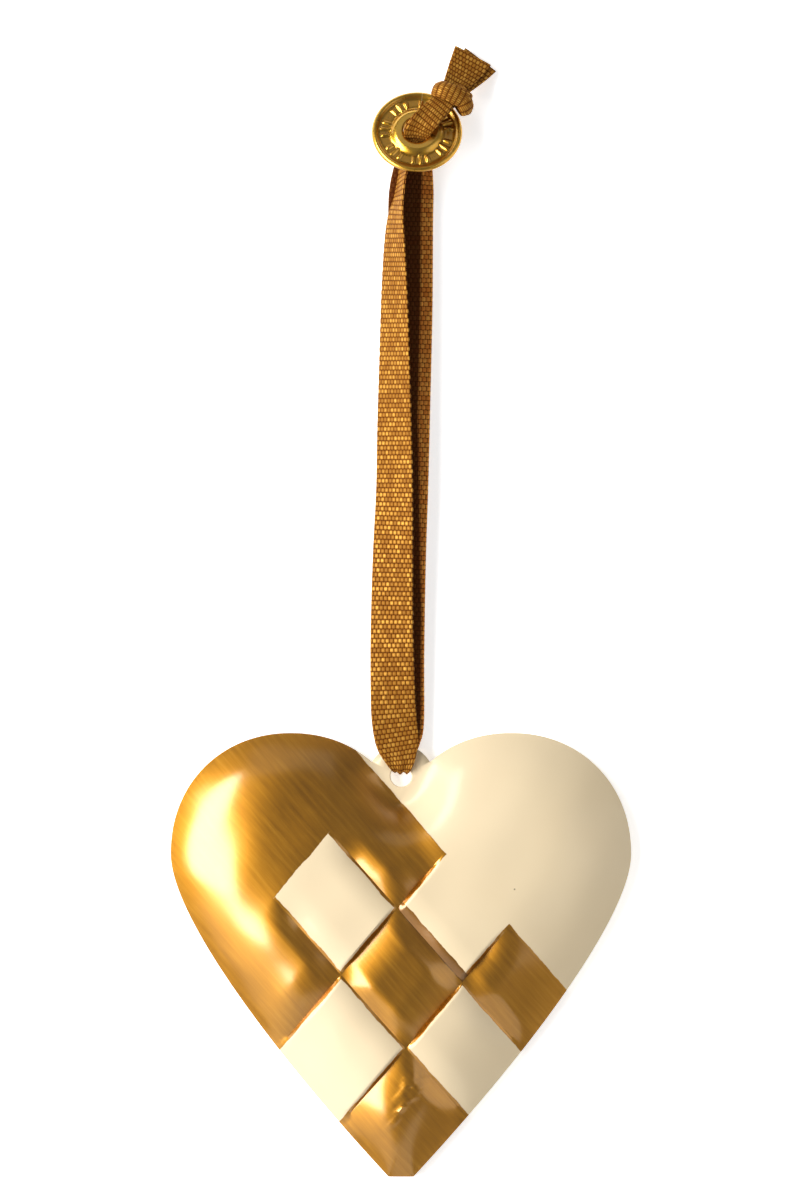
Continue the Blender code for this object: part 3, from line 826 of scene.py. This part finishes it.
    def build(self) -> Item:
        """Return the heart with its wall thickness and both finishes."""
        points, faces = self.sheet()
        heart = make_mesh("pressed_heart", points, faces)
        heart.data.set_sharp_from_angle(angle=self.sharp_angle)
        wall = heart.modifiers.new("wall", "SOLIDIFY")
        wall.thickness = self.wall
        wall.offset = -1.0
        wall.use_even_offset = False
        wall.material_offset = 1
        wall.material_offset_rim = 0
        self.dress(heart)
        return heart

    def dress(self, heart: Item) -> None:
        """Paint the heart and say what it stands for."""
        heart.data.materials.append(self.paint.material(self.weave, self.rim_height))
        heart.data.materials.append(self.paint.back())
        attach(heart, "root")
        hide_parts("heart")


@dataclass(frozen=True)
class OldBrass:
    """Olive brass, dark in its recesses and bright where it is rubbed.

    The painted highlight is a thin bright line from its foot on, leaning along Y. The coat has a
    weight, a roughness and an index.
    """

    dark: Colour = (0.43, 0.225, 0.014)
    brass: Colour = (0.64, 0.360, 0.034)
    bright: Colour = (0.74, 0.460, 0.070)
    roughness: float = 0.26
    painted_highlight: Colour = (0.90, 0.70, 0.34)
    highlight_foot: Pair = (0.00375, 0.1664)
    highlight_lean: float = 0.09
    highlight_half_width: float = 0.00005
    coat: Triple = (0.8, 0.12, 1.7)

    def material(self, centre: Array, normal: Array, low: float, high: float) -> Material:
        """Return the material, by how high a point stands over the button's plane."""
        shader = Shader("old_brass")
        x, y, z = shader.position()
        parts = [(axis - start) * share
                 for axis, start, share in zip((x, y, z), centre.tolist(), normal.tolist())]
        level = parts[0] + parts[1] + parts[2]
        place = shader.vector(x, y, z)
        cloud = shader.noise(place, 900.0, 4.0, 0.6)
        worn = level.rise(low, high - low) + (cloud - 0.5) * 0.5
        body = shader.ramp(worn, [(0.0, self.dark), (0.5, self.brass), (0.95, self.bright)])
        # Painted highlight: a thin bright line on the brass, from its foot on, leaning along Y.
        off_highlight = abs(x - self.highlight_foot[0] - (y - self.highlight_foot[1]) * self.highlight_lean)
        line = 1.0 - off_highlight.rise(self.highlight_half_width, 0.00006)
        on_highlight = line * y.rise(self.highlight_foot[1], 0.0004)
        body = shader.blend(on_highlight * 0.8, body, self.painted_highlight)
        rough = cloud * 0.2 + (self.roughness - 0.06)
        grain = shader.noise(place, 5000.0, 2.0)
        weight, coat_roughness, coat_index = self.coat
        return shader.close({"Base Color": body, "Roughness": rough, "Metallic": 1.0,
                             "Coat Weight": weight, "Coat Roughness": coat_roughness,
                             "Coat IOR": coat_index, "Normal": shader.bump(grain, 0.00002)})


@dataclass(frozen=True)
class StampedButton:
    """The dished brass button: rolled rim, stamped channel and a raised boss with its hole."""

    radius: float = 0.00907
    tilt: float = math.radians(26.7)
    place: Pair = (0.0032, 0.1640)
    rim: float = 0.0013
    roll: float = 0.0012
    plate: float = 0.0007
    boss_radius: float = 0.0048
    boss: float = 0.0015
    hole_radius: float = 0.0027
    floor_gap: float = 0.00005
    around: int = 288
    stroke_groups: int = 7
    stroke_height: float = 0.00034
    finish: OldBrass = OldBrass()

    def corners(self) -> Array:
        """Return radius and height of the profile's corners, from the hole over the top."""
        hole, shoulder, outer, roll = self.hole_radius, self.boss_radius, self.radius, self.roll
        boss, plate, rim = self.boss, self.plate, self.rim
        channel_in = shoulder + roll * 0.5
        channel_out = outer - 1.2 * roll
        return np.array((
            (hole, plate * 0.3), (hole, boss - 0.0003), (hole + 0.0003, boss),
            (shoulder - 0.0006, boss + 0.00002), (shoulder - 0.0001, boss - 0.00025),
            (channel_in - 0.0001, plate + 0.00004), (channel_in + 0.0004, plate - 0.0001),
            (channel_out - 0.0004, plate - 0.0001), (channel_out + 0.0001, plate + 0.00005),
            (outer - roll * 0.8, rim - 0.0002), (outer - roll * 0.45, rim),
            (outer - roll * 0.12, rim - 0.0003), (outer, rim * 0.5),
            (outer - roll * 0.12, 0.0002), (outer - roll * 0.45, 0.0), (hole + 0.0004, 0.0),
        ))

    def profile(self, count: int = 120) -> Array:
        """Return the closed profile with its corners rounded by averaging neighbours."""
        corners = np.vstack((self.corners(), self.corners()[:1]))
        run = running_length(corners)
        places = np.linspace(0.0, run[-1], count, endpoint=False)
        line = np.stack([np.interp(places, run, corners[:, axis]) for axis in (0, 1)], axis=-1)
        for _ in range(3):
            line = (np.roll(line, 1, axis=0) + 2.0 * line + np.roll(line, -1, axis=0)) / 4.0
        return line

    def strokes(self, radius: Array, angle: Array) -> Array:
        """Return the stamped channel's relief: groups of three plain radial strokes.

        Round the channel a wave picks three strokes out of every four places, and a bell curve
        across the radius ends each stroke.
        """
        turn = angle / (2.0 * math.pi) * self.stroke_groups * 4.0
        number = np.floor(turn)
        shown = (number % 4 != 3).astype(float)
        bar = np.exp(-(((turn - number - 0.5) / 0.24) ** 2) ** 2)
        middle = (self.boss_radius + self.radius - self.roll) / 2 + 0.00005
        half = np.where(number % 4 == 1, 0.00105, 0.00080)
        span = np.exp(-((radius - middle) / half) ** 6)
        return self.stroke_height * shown * bar * span

    def pose(self) -> tuple[Array, Array]:
        """Return the centre of the underside and the three axes of the tipped button."""
        height = self.radius * math.sin(self.tilt) + self.floor_gap
        axes = np.array(((1.0, 0.0, 0.0), (0.0, math.cos(self.tilt), -math.sin(self.tilt)),
                         (0.0, math.sin(self.tilt), math.cos(self.tilt))))
        return np.array((*self.place, height)), axes

    def build(self) -> Item:
        """Return the button turned from its profile, tipped up over the ribbon."""
        profile = self.profile()
        angle = full_turn(self.around)
        radius = np.repeat(profile[:, :1], self.around, axis=1)
        height = np.repeat(profile[:, 1:], self.around, axis=1)
        turn = np.repeat(angle[None, :], len(profile), axis=0)
        height = height + np.where(height > self.plate * 0.5, self.strokes(radius, turn), 0.0)
        local = np.stack((radius * np.cos(turn), radius * np.sin(turn), height), axis=-1)
        centre, axes = self.pose()
        faces = grid_faces(len(profile), self.around, True, True)[:, ::-1]
        button = make_mesh("stamped_button", local.reshape(-1, 3) @ axes + centre, faces)
        self.dress(button, centre, axes[2])
        return button

    def dress(self, button: Item, centre: Array, normal: Array) -> None:
        """Give the button its brass and say what it stands for."""
        button.data.materials.append(self.finish.material(centre, normal, 0.0003, self.boss))
        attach(button, "root")
        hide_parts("button")


def grid_faces(rows: int, columns: int, close_rows: bool, close_columns: bool) -> Array:
    """Return the four-cornered faces of a grid.

    Args:
        rows: number of rows of points.
        columns: number of points in a row.
        close_rows: whether the last row joins the first.
        close_columns: whether each row is a ring.

    Returns:
        One row of four vertex numbers a face.
    """
    down = np.arange(rows if close_rows else rows - 1)[:, None]
    across = np.arange(columns if close_columns else columns - 1)[None, :]
    below = (down + 1) % rows
    right = (across + 1) % columns
    places = ((down, across), (down, right), (below, right), (below, across))
    return np.stack([(row * columns + column).reshape(-1) for row, column in places], axis=-1)


@dataclass(frozen=True)
class RibbonWeave:
    """Gold-brown metallic weave: short bricks in rows, each row half a brick along.

    Past the face's width in millimetres comes the underside, redder and brightened as painted
    light. A painted shadow darkens its inner part, from one place across it up to another, which
    is reached over a stretch along the ribbon.
    """

    brick: float = 0.00090
    row: float = 0.00094
    gap_and_painted_shadow: Colour = (0.085, 0.020, 0.002)
    thread: Colour = (0.27, 0.100, 0.005)
    light_thread: Colour = (0.34, 0.138, 0.009)
    glint: Colour = (0.88, 0.56, 0.15)
    painted_lit_underside: Colour = (0.70, 0.240, 0.036)
    painted_lit_underside_light: Colour = (0.95, 0.440, 0.100)
    face_width: float = 9.0
    painted_shadow_from: Pair = (9.3, 11.1)
    painted_shadow_along: Pair = (160.0, 40.0)
    relief_height: float = 0.00009

    def relief(self, across: Array, along: Array) -> Array:
        """Return the bricks' relief between 0 and 1: one minus a power of the offset, both ways."""
        number = np.floor(along / self.row)
        column = across / self.brick + 0.5 * (number % 2)
        u = column % 1.0
        v = (along / self.row) % 1.0
        swell = 0.8 + 0.2 * np.sin(number * 12.9898 + np.floor(column) * 78.233)
        return swell * (1.0 - np.abs(2.0 * u - 1.0) ** 3) * (1.0 - np.abs(2.0 * v - 1.0) ** 3)

    def material(self) -> Material:
        """Return the weave's material, which follows the ribbon by its own map in millimetres."""
        shader = Shader("metallic_weave")
        place = shader.node("ShaderNodeUVMap", {"uv_map": "weave"})
        across, along = shader.split(place, 0), shader.split(place, 1)
        row = along / (self.row / MM)
        number = row.floor()
        column = across / (self.brick / MM) + (number * 0.5).fraction()
        u = abs(column.fraction() * 2.0 - 1.0)
        v = abs(row.fraction() * 2.0 - 1.0)
        brick = (1.0 - u ** 4.0) * (1.0 - v ** 4.0)
        core = (1.0 - u ** 2.0) * (1.0 - v ** 2.0)
        chance = shader.node("ShaderNodeTexWhiteNoise", {"noise_dimensions": "2D"},
                             {"Vector": shader.vector(column.floor(), number, 0.0)})
        threads = shader.noise(shader.vector(across * 9.0, along * 1.2, 0.0), 1.0, 2.0)
        turned = across.rise(self.face_width, 0.01)
        # The underside's colours are redder, and brightened as painted light for the back strand.
        plain = shader.blend(turned, self.thread, self.painted_lit_underside)
        light = shader.blend(turned, self.light_thread, self.painted_lit_underside_light)
        body = shader.blend(chance, plain, light)
        body = shader.blend(core * (0.22 + chance.rise(0.3, 0.7) * 0.40), body, self.glint)
        body = shader.blend(brick.rise(0.05, 0.5), self.gap_and_painted_shadow, body)
        body = shader.blend(threads.rise(0.55, 0.3) * 0.35, body, self.gap_and_painted_shadow)
        # Painted shadow: the underside's inner part is darkened towards the gap colour where the
        # front strand's shadow falls.
        start = along.rise(*self.painted_shadow_along) * (self.painted_shadow_from[1] - self.painted_shadow_from[0])
        shade = (across - start).rise(self.painted_shadow_from[0], 0.6)
        body = shader.blend(shade * 0.9, body, self.gap_and_painted_shadow)
        shine = brick * (chance * 0.3 + 0.05)
        height = brick * 0.7 + threads * 0.3
        return shader.close({"Base Color": body, "Roughness": 0.60 - core * 0.14,
                             "Metallic": shine, "Specular IOR Level": 0.12,
                             "Normal": shader.bump(height, 0.00012, 0.8)})


@dataclass(frozen=True)
class RibbonStrip:
    """A flat woven strip carried along a route of listed stations.

    A station holds the centre in millimetres, the width and the thickness as shares of the flat
    ribbon's, and the roll in degrees. Lift raises the whole strip off its route, the crown raises
    its middle, and the offset moves the weave along it.
    """

    route: Route
    width: float = 0.0090
    thickness: float = 0.0005
    weave: RibbonWeave = RibbonWeave()
    hint: Point = (1.0, 0.0, 0.0)
    lift: float = 0.0
    pleats: float = 0.9
    pleat_depth: float = 0.6
    crown: float = 0.0
    closed: bool = False
    two_faced: bool = False
    columns: int = 36
    pitch: float = 0.00026
    offset: float = 0.0

    def smooth_rows(self) -> tuple[Array, Array]:
        """Return evenly spaced stations of one smooth curve through the route, and their places."""
        rows = np.array(self.route, dtype=float)
        if self.closed:
            padded = np.vstack((rows[-1:], rows, rows[:2]))
            spans = len(rows)
        else:
            padded = np.vstack((2 * rows[0] - rows[1], rows, 2 * rows[-1] - rows[-2]))
            spans = len(rows) - 1
        place = np.linspace(0.0, spans, spans * 40 + 1)
        index = np.minimum(place.astype(int), spans - 1)
        t = (place - index)[:, None]
        before, start, end, after = (padded[index + step] for step in range(4))
        square = 2 * before - 5 * start + 4 * end - after
        cube = 3 * start - before - 3 * end + after
        fine = 0.5 * (2 * start + (end - before) * t + square * t * t + cube * t ** 3)
        fine[:, :3] *= MM
        run = running_length(fine[:, :3])
        count = max(8, int(round(run[-1] / self.pitch)))
        places = np.linspace(0.0, run[-1], count + 1)
        even = np.stack([np.interp(places, run, fine[:, axis]) for axis in range(6)], axis=-1)
        if self.closed:
            return even[:-1], places[:-1]
        return even, places

    def frames(self, rows: Array) -> tuple[Array, Array]:
        """Return the width and thickness directions at every station.

        The width is the hint less its part along the route, turned about the route by the roll.
        """
        if self.closed:
            forward = np.roll(rows[:, :3], -1, axis=0) - np.roll(rows[:, :3], 1, axis=0)
        else:
            forward = np.gradient(rows[:, :3], axis=0)
        forward = unit_rows(forward)
        hint = np.array(self.hint)
        across = unit_rows(hint - forward * (forward @ hint)[:, None])
        normal = np.cross(forward, across)
        turn = np.radians(rows[:, 5:6])
        wide = across * np.cos(turn) + normal * np.sin(turn)
        return wide, np.cross(forward, wide)

    def surface(self) -> tuple[Array, Array, Array, Array]:
        """Return points, faces, weave coordinates and the centre line.

        Round the section run the top, one edge, the underside and the other edge. On a two-faced
        strip the weave's coordinate runs on past the width over the underside. Where the
        ribbon is bunched a wave across its width makes pleats as deep as its share of thickness.
        """
        rows, places = self.smooth_rows()
        wide, thick = self.frames(rows)
        span = np.linspace(-1.0, 1.0, self.columns + 1)
        share = np.concatenate((span, (1.0,), span[::-1], (-1.0,)))
        face = np.concatenate((np.ones(len(span)), (0.0,), -np.ones(len(span)), (0.0,)))
        edge = np.sqrt(np.clip(1.0 - np.abs(share) ** 10, 0.0, 1.0)) * 0.7 + 0.3
        half_width = (rows[:, 3] * self.width / 2)[:, None]
        spare = np.clip((rows[:, 4] - 1.0) * self.thickness / 2, 0.0, None)
        bunch = self.pleat_depth * spare[:, None]
        across = (share + 1.0) * self.width / 2
        if self.two_faced:
            across = np.where(face < 0.0, 2.0 * self.width - across, across)
        pleat = bunch * np.cos(self.pleats * 2.0 * math.pi * share + places[:, None] * 300.0)
        relief = self.weave.relief(across[None, :], places[:, None] + self.offset)
        raised = self.thickness * 0.42 * edge + relief * self.weave.relief_height
        out = pleat + face * raised + self.lift + self.crown * (1.0 - share ** 2)
        points = (rows[:, None, :3] + wide[:, None, :] * (half_width * share)[:, :, None]
                  + thick[:, None, :] * out[:, :, None])
        count = len(share)
        faces = grid_faces(len(rows), count, self.closed, True)[:, ::-1]
        uvs = np.stack((np.broadcast_to(across / MM, out.shape),
                        np.broadcast_to((places[:, None] + self.offset) / MM, out.shape)), axis=-1)
        points = points.reshape(-1, 3)
        uvs = uvs.reshape(-1, 2)
        if not self.closed:
            faces = np.vstack((faces, self.end_faces(len(rows), count)))
        return points, faces, uvs, rows[:, :3]

    def end_faces(self, rows: int, count: int) -> Array:
        """Return the faces of both ends, which join the top to the underside column by column."""
        top = np.arange(self.columns)
        under = 2 * self.columns + 2 - top
        first = np.stack((top, top + 1, under - 1, under), axis=-1)
        right = self.columns + np.array((0, 1, 2, 2))
        near = np.vstack((first, right, (count - 2, count - 1, 0, 0)))
        return np.vstack((near, near[:, ::-1] + (rows - 1) * count))


LOOP_ROUTE = (
    (3.2, 162.9, 4.4, 0.44, 2.6, 0.0),
    (2.3, 160.6, 3.75, 0.58, 1.9, 30.0),
    (0.6, 157.2, 3.95, 0.80, 1.2, 72.0),
    (-0.4, 151.7, 4.75, 0.98, 1.0, 78.0),
    (-1.1, 146.9, 4.80, 1.00, 1.0, 70.0),
    (-1.3, 140.3, 4.70, 1.00, 1.0, 62.0),
    (-1.3, 129.9, 4.40, 1.00, 1.0, 54.0),
    (-1.3, 117.9, 4.20, 1.00, 1.0, 48.0),
    (-1.3, 105.0, 4.05, 1.00, 1.0, 41.0),
    (-1.3, 92.5, 3.95, 1.00, 1.0, 36.0),
    (-1.6, 80.3, 3.85, 1.00, 1.0, 28.0),
    (-1.8, 64.9, 3.80, 1.00, 1.0, 20.0),
    (-1.6, 51.7, 3.75, 1.00, 1.0, 9.0),
    (-1.3, 46.5, 3.60, 1.00, 1.0, 3.0),
    (-0.7, 42.3, 3.40, 0.95, 1.1, 0.0),
    (-0.2, 39.3, 3.25, 0.72, 1.4, 0.0),
    (0.0, 37.4, 3.00, 0.50, 1.8, 0.0),
    (0.0, 36.5, 1.85, 0.29, 2.6, 0.0),
    (0.0, 37.2, 0.90, 0.34, 2.2, 0.0),
    (0.0, 39.4, 0.64, 0.56, 1.5, 0.0),
    (0.05, 42.4, 0.45, 0.84, 1.1, 0.0),
    (0.1, 46.6, 0.36, 1.00, 1.0, 0.0),
    (0.15, 60.0, 0.34, 1.00, 1.0, 0.0),
    (0.45, 78.0, 0.34, 1.00, 1.0, 0.0),
    (0.95, 94.0, 0.34, 1.00, 1.0, 0.0),
    (1.4, 112.0, 0.34, 1.00, 1.0, 0.0),
    (1.8, 130.0, 0.34, 1.00, 1.0, 0.0),
    (1.9, 146.0, 0.36, 1.00, 1.0, 0.0),
    (2.1, 153.0, 0.60, 0.98, 1.0, 0.0),
    (2.6, 158.6, 1.30, 0.80, 1.2, 0.0),
    (3.1, 162.5, 2.30, 0.56, 1.8, 0.0),
    (3.3, 164.4, 3.65, 0.44, 2.6, 0.0),
)

STEM_ROUTE = (
    (3.05, 162.7, 3.60, 0.57, 2.2, 0.0),
    (3.10, 163.5, 4.90, 0.59, 2.2, 0.0),
    (3.5, 164.8, 6.50, 0.60, 2.0, 0.0),
    (5.0, 166.6, 7.70, 0.56, 1.8, 0.0),
    (7.4, 169.1, 7.10, 0.52, 1.8, 0.0),
    (9.6, 171.3, 5.90, 0.46, 2.0, 0.0),
)

LEFT_TAIL_ROUTE = (
    (9.8, 172.0, 5.60, 0.42, 2.0, 6.0),
    (11.1, 174.2, 4.40, 0.58, 1.6, 12.0),
    (12.7, 176.7, 2.90, 0.76, 1.2, 12.0),
    (14.4, 179.7, 1.60, 0.90, 1.0, 9.0),
)

RIGHT_TAIL_ROUTE = (
    (10.4, 171.8, 5.00, 0.42, 2.0, 6.0),
    (12.0, 174.0, 3.50, 0.58, 1.5, 12.0),
    (13.9, 176.4, 1.95, 0.74, 1.1, 12.0),
    (15.9, 178.9, 0.95, 0.86, 1.0, 9.0),
)


@dataclass(frozen=True)
class KnottedRibbon:
    """The one ribbon: its loop through the lug and the knot with the cut ends.

    The button's hole is in metres; the middles of the knot and of its side lobe are in
    millimetres, as the routes are.
    """

    width: float = 0.0090
    thickness: float = 0.0005
    weave: RibbonWeave = RibbonWeave()
    hole: Point = (0.0032, 0.1640, 0.0045)
    knot: Point = (10.1, 171.7, 5.6)
    lobe: Point = (12.2, 170.6, 4.9)
    knot_direction: Point = (0.66, 0.74, -0.12)

    def wrap_route(self, centre: Point, radii: Pair, share: float,
                   lean: float) -> Route:
        """Return a ring round the stem: cosine across it and sine upwards, leaning along it."""
        turn = full_turn(12)
        along = np.array(self.knot_direction)
        side = np.array((along[1], -along[0], 0.0))
        side = side / np.linalg.norm(side)
        up = np.cross(side, along)
        ring = (np.array(centre) + np.outer(np.cos(turn) * radii[0], side)
                + np.outer(np.sin(turn) * radii[1], up) + np.outer(np.cos(turn) * lean, along))
        return tuple((*point, share, 1.6, 0.0) for point in ring.tolist())

    def knot_strips(self) -> list[RibbonStrip]:
        """Return the strips that make the doubled stem, the knot and the two cut ends."""
        pair = {"width": self.width, "thickness": self.thickness, "weave": self.weave,
                "columns": 24}
        direction = self.knot_direction
        first = self.wrap_route(self.knot, (2.9, 1.9), 0.42, 0.9)
        lobe = self.wrap_route(self.lobe, (1.8, 1.5), 0.38, -0.7)
        return [
            RibbonStrip(STEM_ROUTE, lift=0.00050, pleats=0.5, **pair),
            RibbonStrip(STEM_ROUTE, lift=-0.00050, offset=0.0004, pleats=0.5, **pair),
            RibbonStrip(first, hint=direction, closed=True, pleats=0.5, crown=-0.0007, **pair),
            RibbonStrip(lobe, hint=direction, closed=True, pleats=0.5, crown=-0.0009, **pair),
            RibbonStrip(LEFT_TAIL_ROUTE, pleats=0.5, **pair),
            RibbonStrip(RIGHT_TAIL_ROUTE, offset=0.0005, pleats=0.5, **pair),
        ]

    def build(self) -> list[Item]:
        finish = self.weave.material()
        strip = RibbonStrip(LOOP_ROUTE, self.width, self.thickness, self.weave, two_faced=True)
        points, faces, uvs, line = strip.surface()
        loop = make_mesh("ribbon_loop", points, faces, uvs)
        parts = [item.surface() for item in self.knot_strips()]
        starts = np.cumsum([0] + [len(part[0]) for part in parts])
        knot = make_mesh("ribbon_knot", np.vstack([part[0] for part in parts]),
                         np.vstack([part[1] + start for part, start in zip(parts, starts)]),
                         np.vstack([part[2] for part in parts]))
        for piece in (loop, knot):
            piece.data.materials.append(finish)
            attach(piece, "root")
            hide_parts("ribbon")
        return [loop, knot]


@dataclass(frozen=True)
class SoftLight:
    """A soft rectangular light that faces a target."""

    name: str
    place: Point
    size: Pair
    power: float
    target: Point

    def build(self) -> None:
        """Add the light to the scene."""
        data = bpy.data.lights.new(self.name, "AREA")
        data.shape = "RECTANGLE"
        data.size, data.size_y = self.size
        data.energy = self.power
        item = bpy.data.objects.new(self.name, data)
        item.location = self.place
        direction = Vector(self.target) - Vector(self.place)
        item.rotation_euler = direction.to_track_quat("-Z", "Y").to_euler()
        bpy.context.scene.collection.objects.link(item)


LIGHTS = (
    SoftLight("left_panel", (-0.78, 0.205, 0.50), (1.00, 0.82), 19.6, (-0.79, 0.205, 0.0)),
    SoftLight("corner_card", (-0.60, -0.62, 0.48), (0.80, 0.55), 1.2, (-0.10, -0.10, 0.0)),
    SoftLight("tip_card", (0.15, -0.78, 0.50), (0.80, 0.60), 1.1, (0.0, 0.0, 0.0)),
    SoftLight("right_card", (0.82, 0.02, 0.44), (0.75, 1.20), 2.6, (0.0, 0.08, 0.0)),
    SoftLight("top_card", (0.0, 0.72, 0.42), (0.60, 0.30), 0.25, (0.0, 0.16, 0.0)),
)


@dataclass(frozen=True)
class Studio:
    """The pale floor, the soft lights and the camera that looks straight down."""

    view_centre: Pair = (-0.0002, 0.0709)
    view_height: float = 0.240
    camera_height: float = 2.40
    sensor: float = 36.0
    floor_size: float = 3.0
    floor_glow: float = 0.50
    floor_tones: tuple[Colour, Colour] = ((0.93, 0.93, 0.93), (0.95, 0.95, 0.95))
    air_strength: float = 0.25
    gamma: float = 0.8

    def camera(self) -> None:
        """Add the camera, with the photo's 800 by 1200 frame across the view's height."""
        data = bpy.data.cameras.new("camera")
        data.sensor_width = self.sensor
        data.lens = self.sensor * self.camera_height / self.view_height
        data.clip_start = 0.01
        data.clip_end = 20.0
        item = bpy.data.objects.new("camera", data)
        item.location = (*self.view_centre, self.camera_height)
        bpy.context.scene.collection.objects.link(item)
        bpy.context.scene.camera = item

    def floor(self) -> None:
        """Add the plain pale floor, a stage piece."""
        half = self.floor_size / 2
        points = np.array(((-half, -half, 0.0), (half, -half, 0.0),
                           (half, half, 0.0), (-half, half, 0.0)))
        item = make_mesh("pale_floor", points, np.array(((0, 1, 2, 3),)))
        shader = Shader("pale_floor")
        x, y, _ = shader.position()
        cloud = shader.noise(shader.vector(x, y, 0.0), 12.0, 2.0)
        body = shader.blend(cloud, *self.floor_tones)
        item.data.materials.append(shader.close({
            "Base Color": body, "Roughness": 0.9, "Emission Color": (1.0, 1.0, 1.0, 1.0),
            "Emission Strength": self.floor_glow}))

    def air(self) -> None:
        """Add the even light from all round and choose how tones are shown."""
        world = bpy.data.worlds.new("studio_air")
        world.use_nodes = True
        background = world.node_tree.nodes["Background"].inputs
        background["Color"].default_value = (1.0, 1.0, 1.0, 1.0)
        background["Strength"].default_value = self.air_strength
        bpy.context.scene.world = world
        bpy.context.scene.view_settings.view_transform = "Standard"
        bpy.context.scene.view_settings.gamma = self.gamma

    def build(self) -> None:
        """Set up the whole studio."""
        self.camera()
        self.floor()
        for light in LIGHTS:
            light.build()
        self.air()


def main() -> None:
    """Build the studio, then every piece of the ornament."""
    logging.basicConfig(level=logging.INFO, format="%(name)s: %(message)s")
    Studio().build()
    pieces = [StampedButton().build()]
    pieces += KnottedRibbon().build()
    pieces.append(PressedHeart().build())
    for piece in pieces:
        report_piece(piece)


if __name__ == "__main__":
    main()
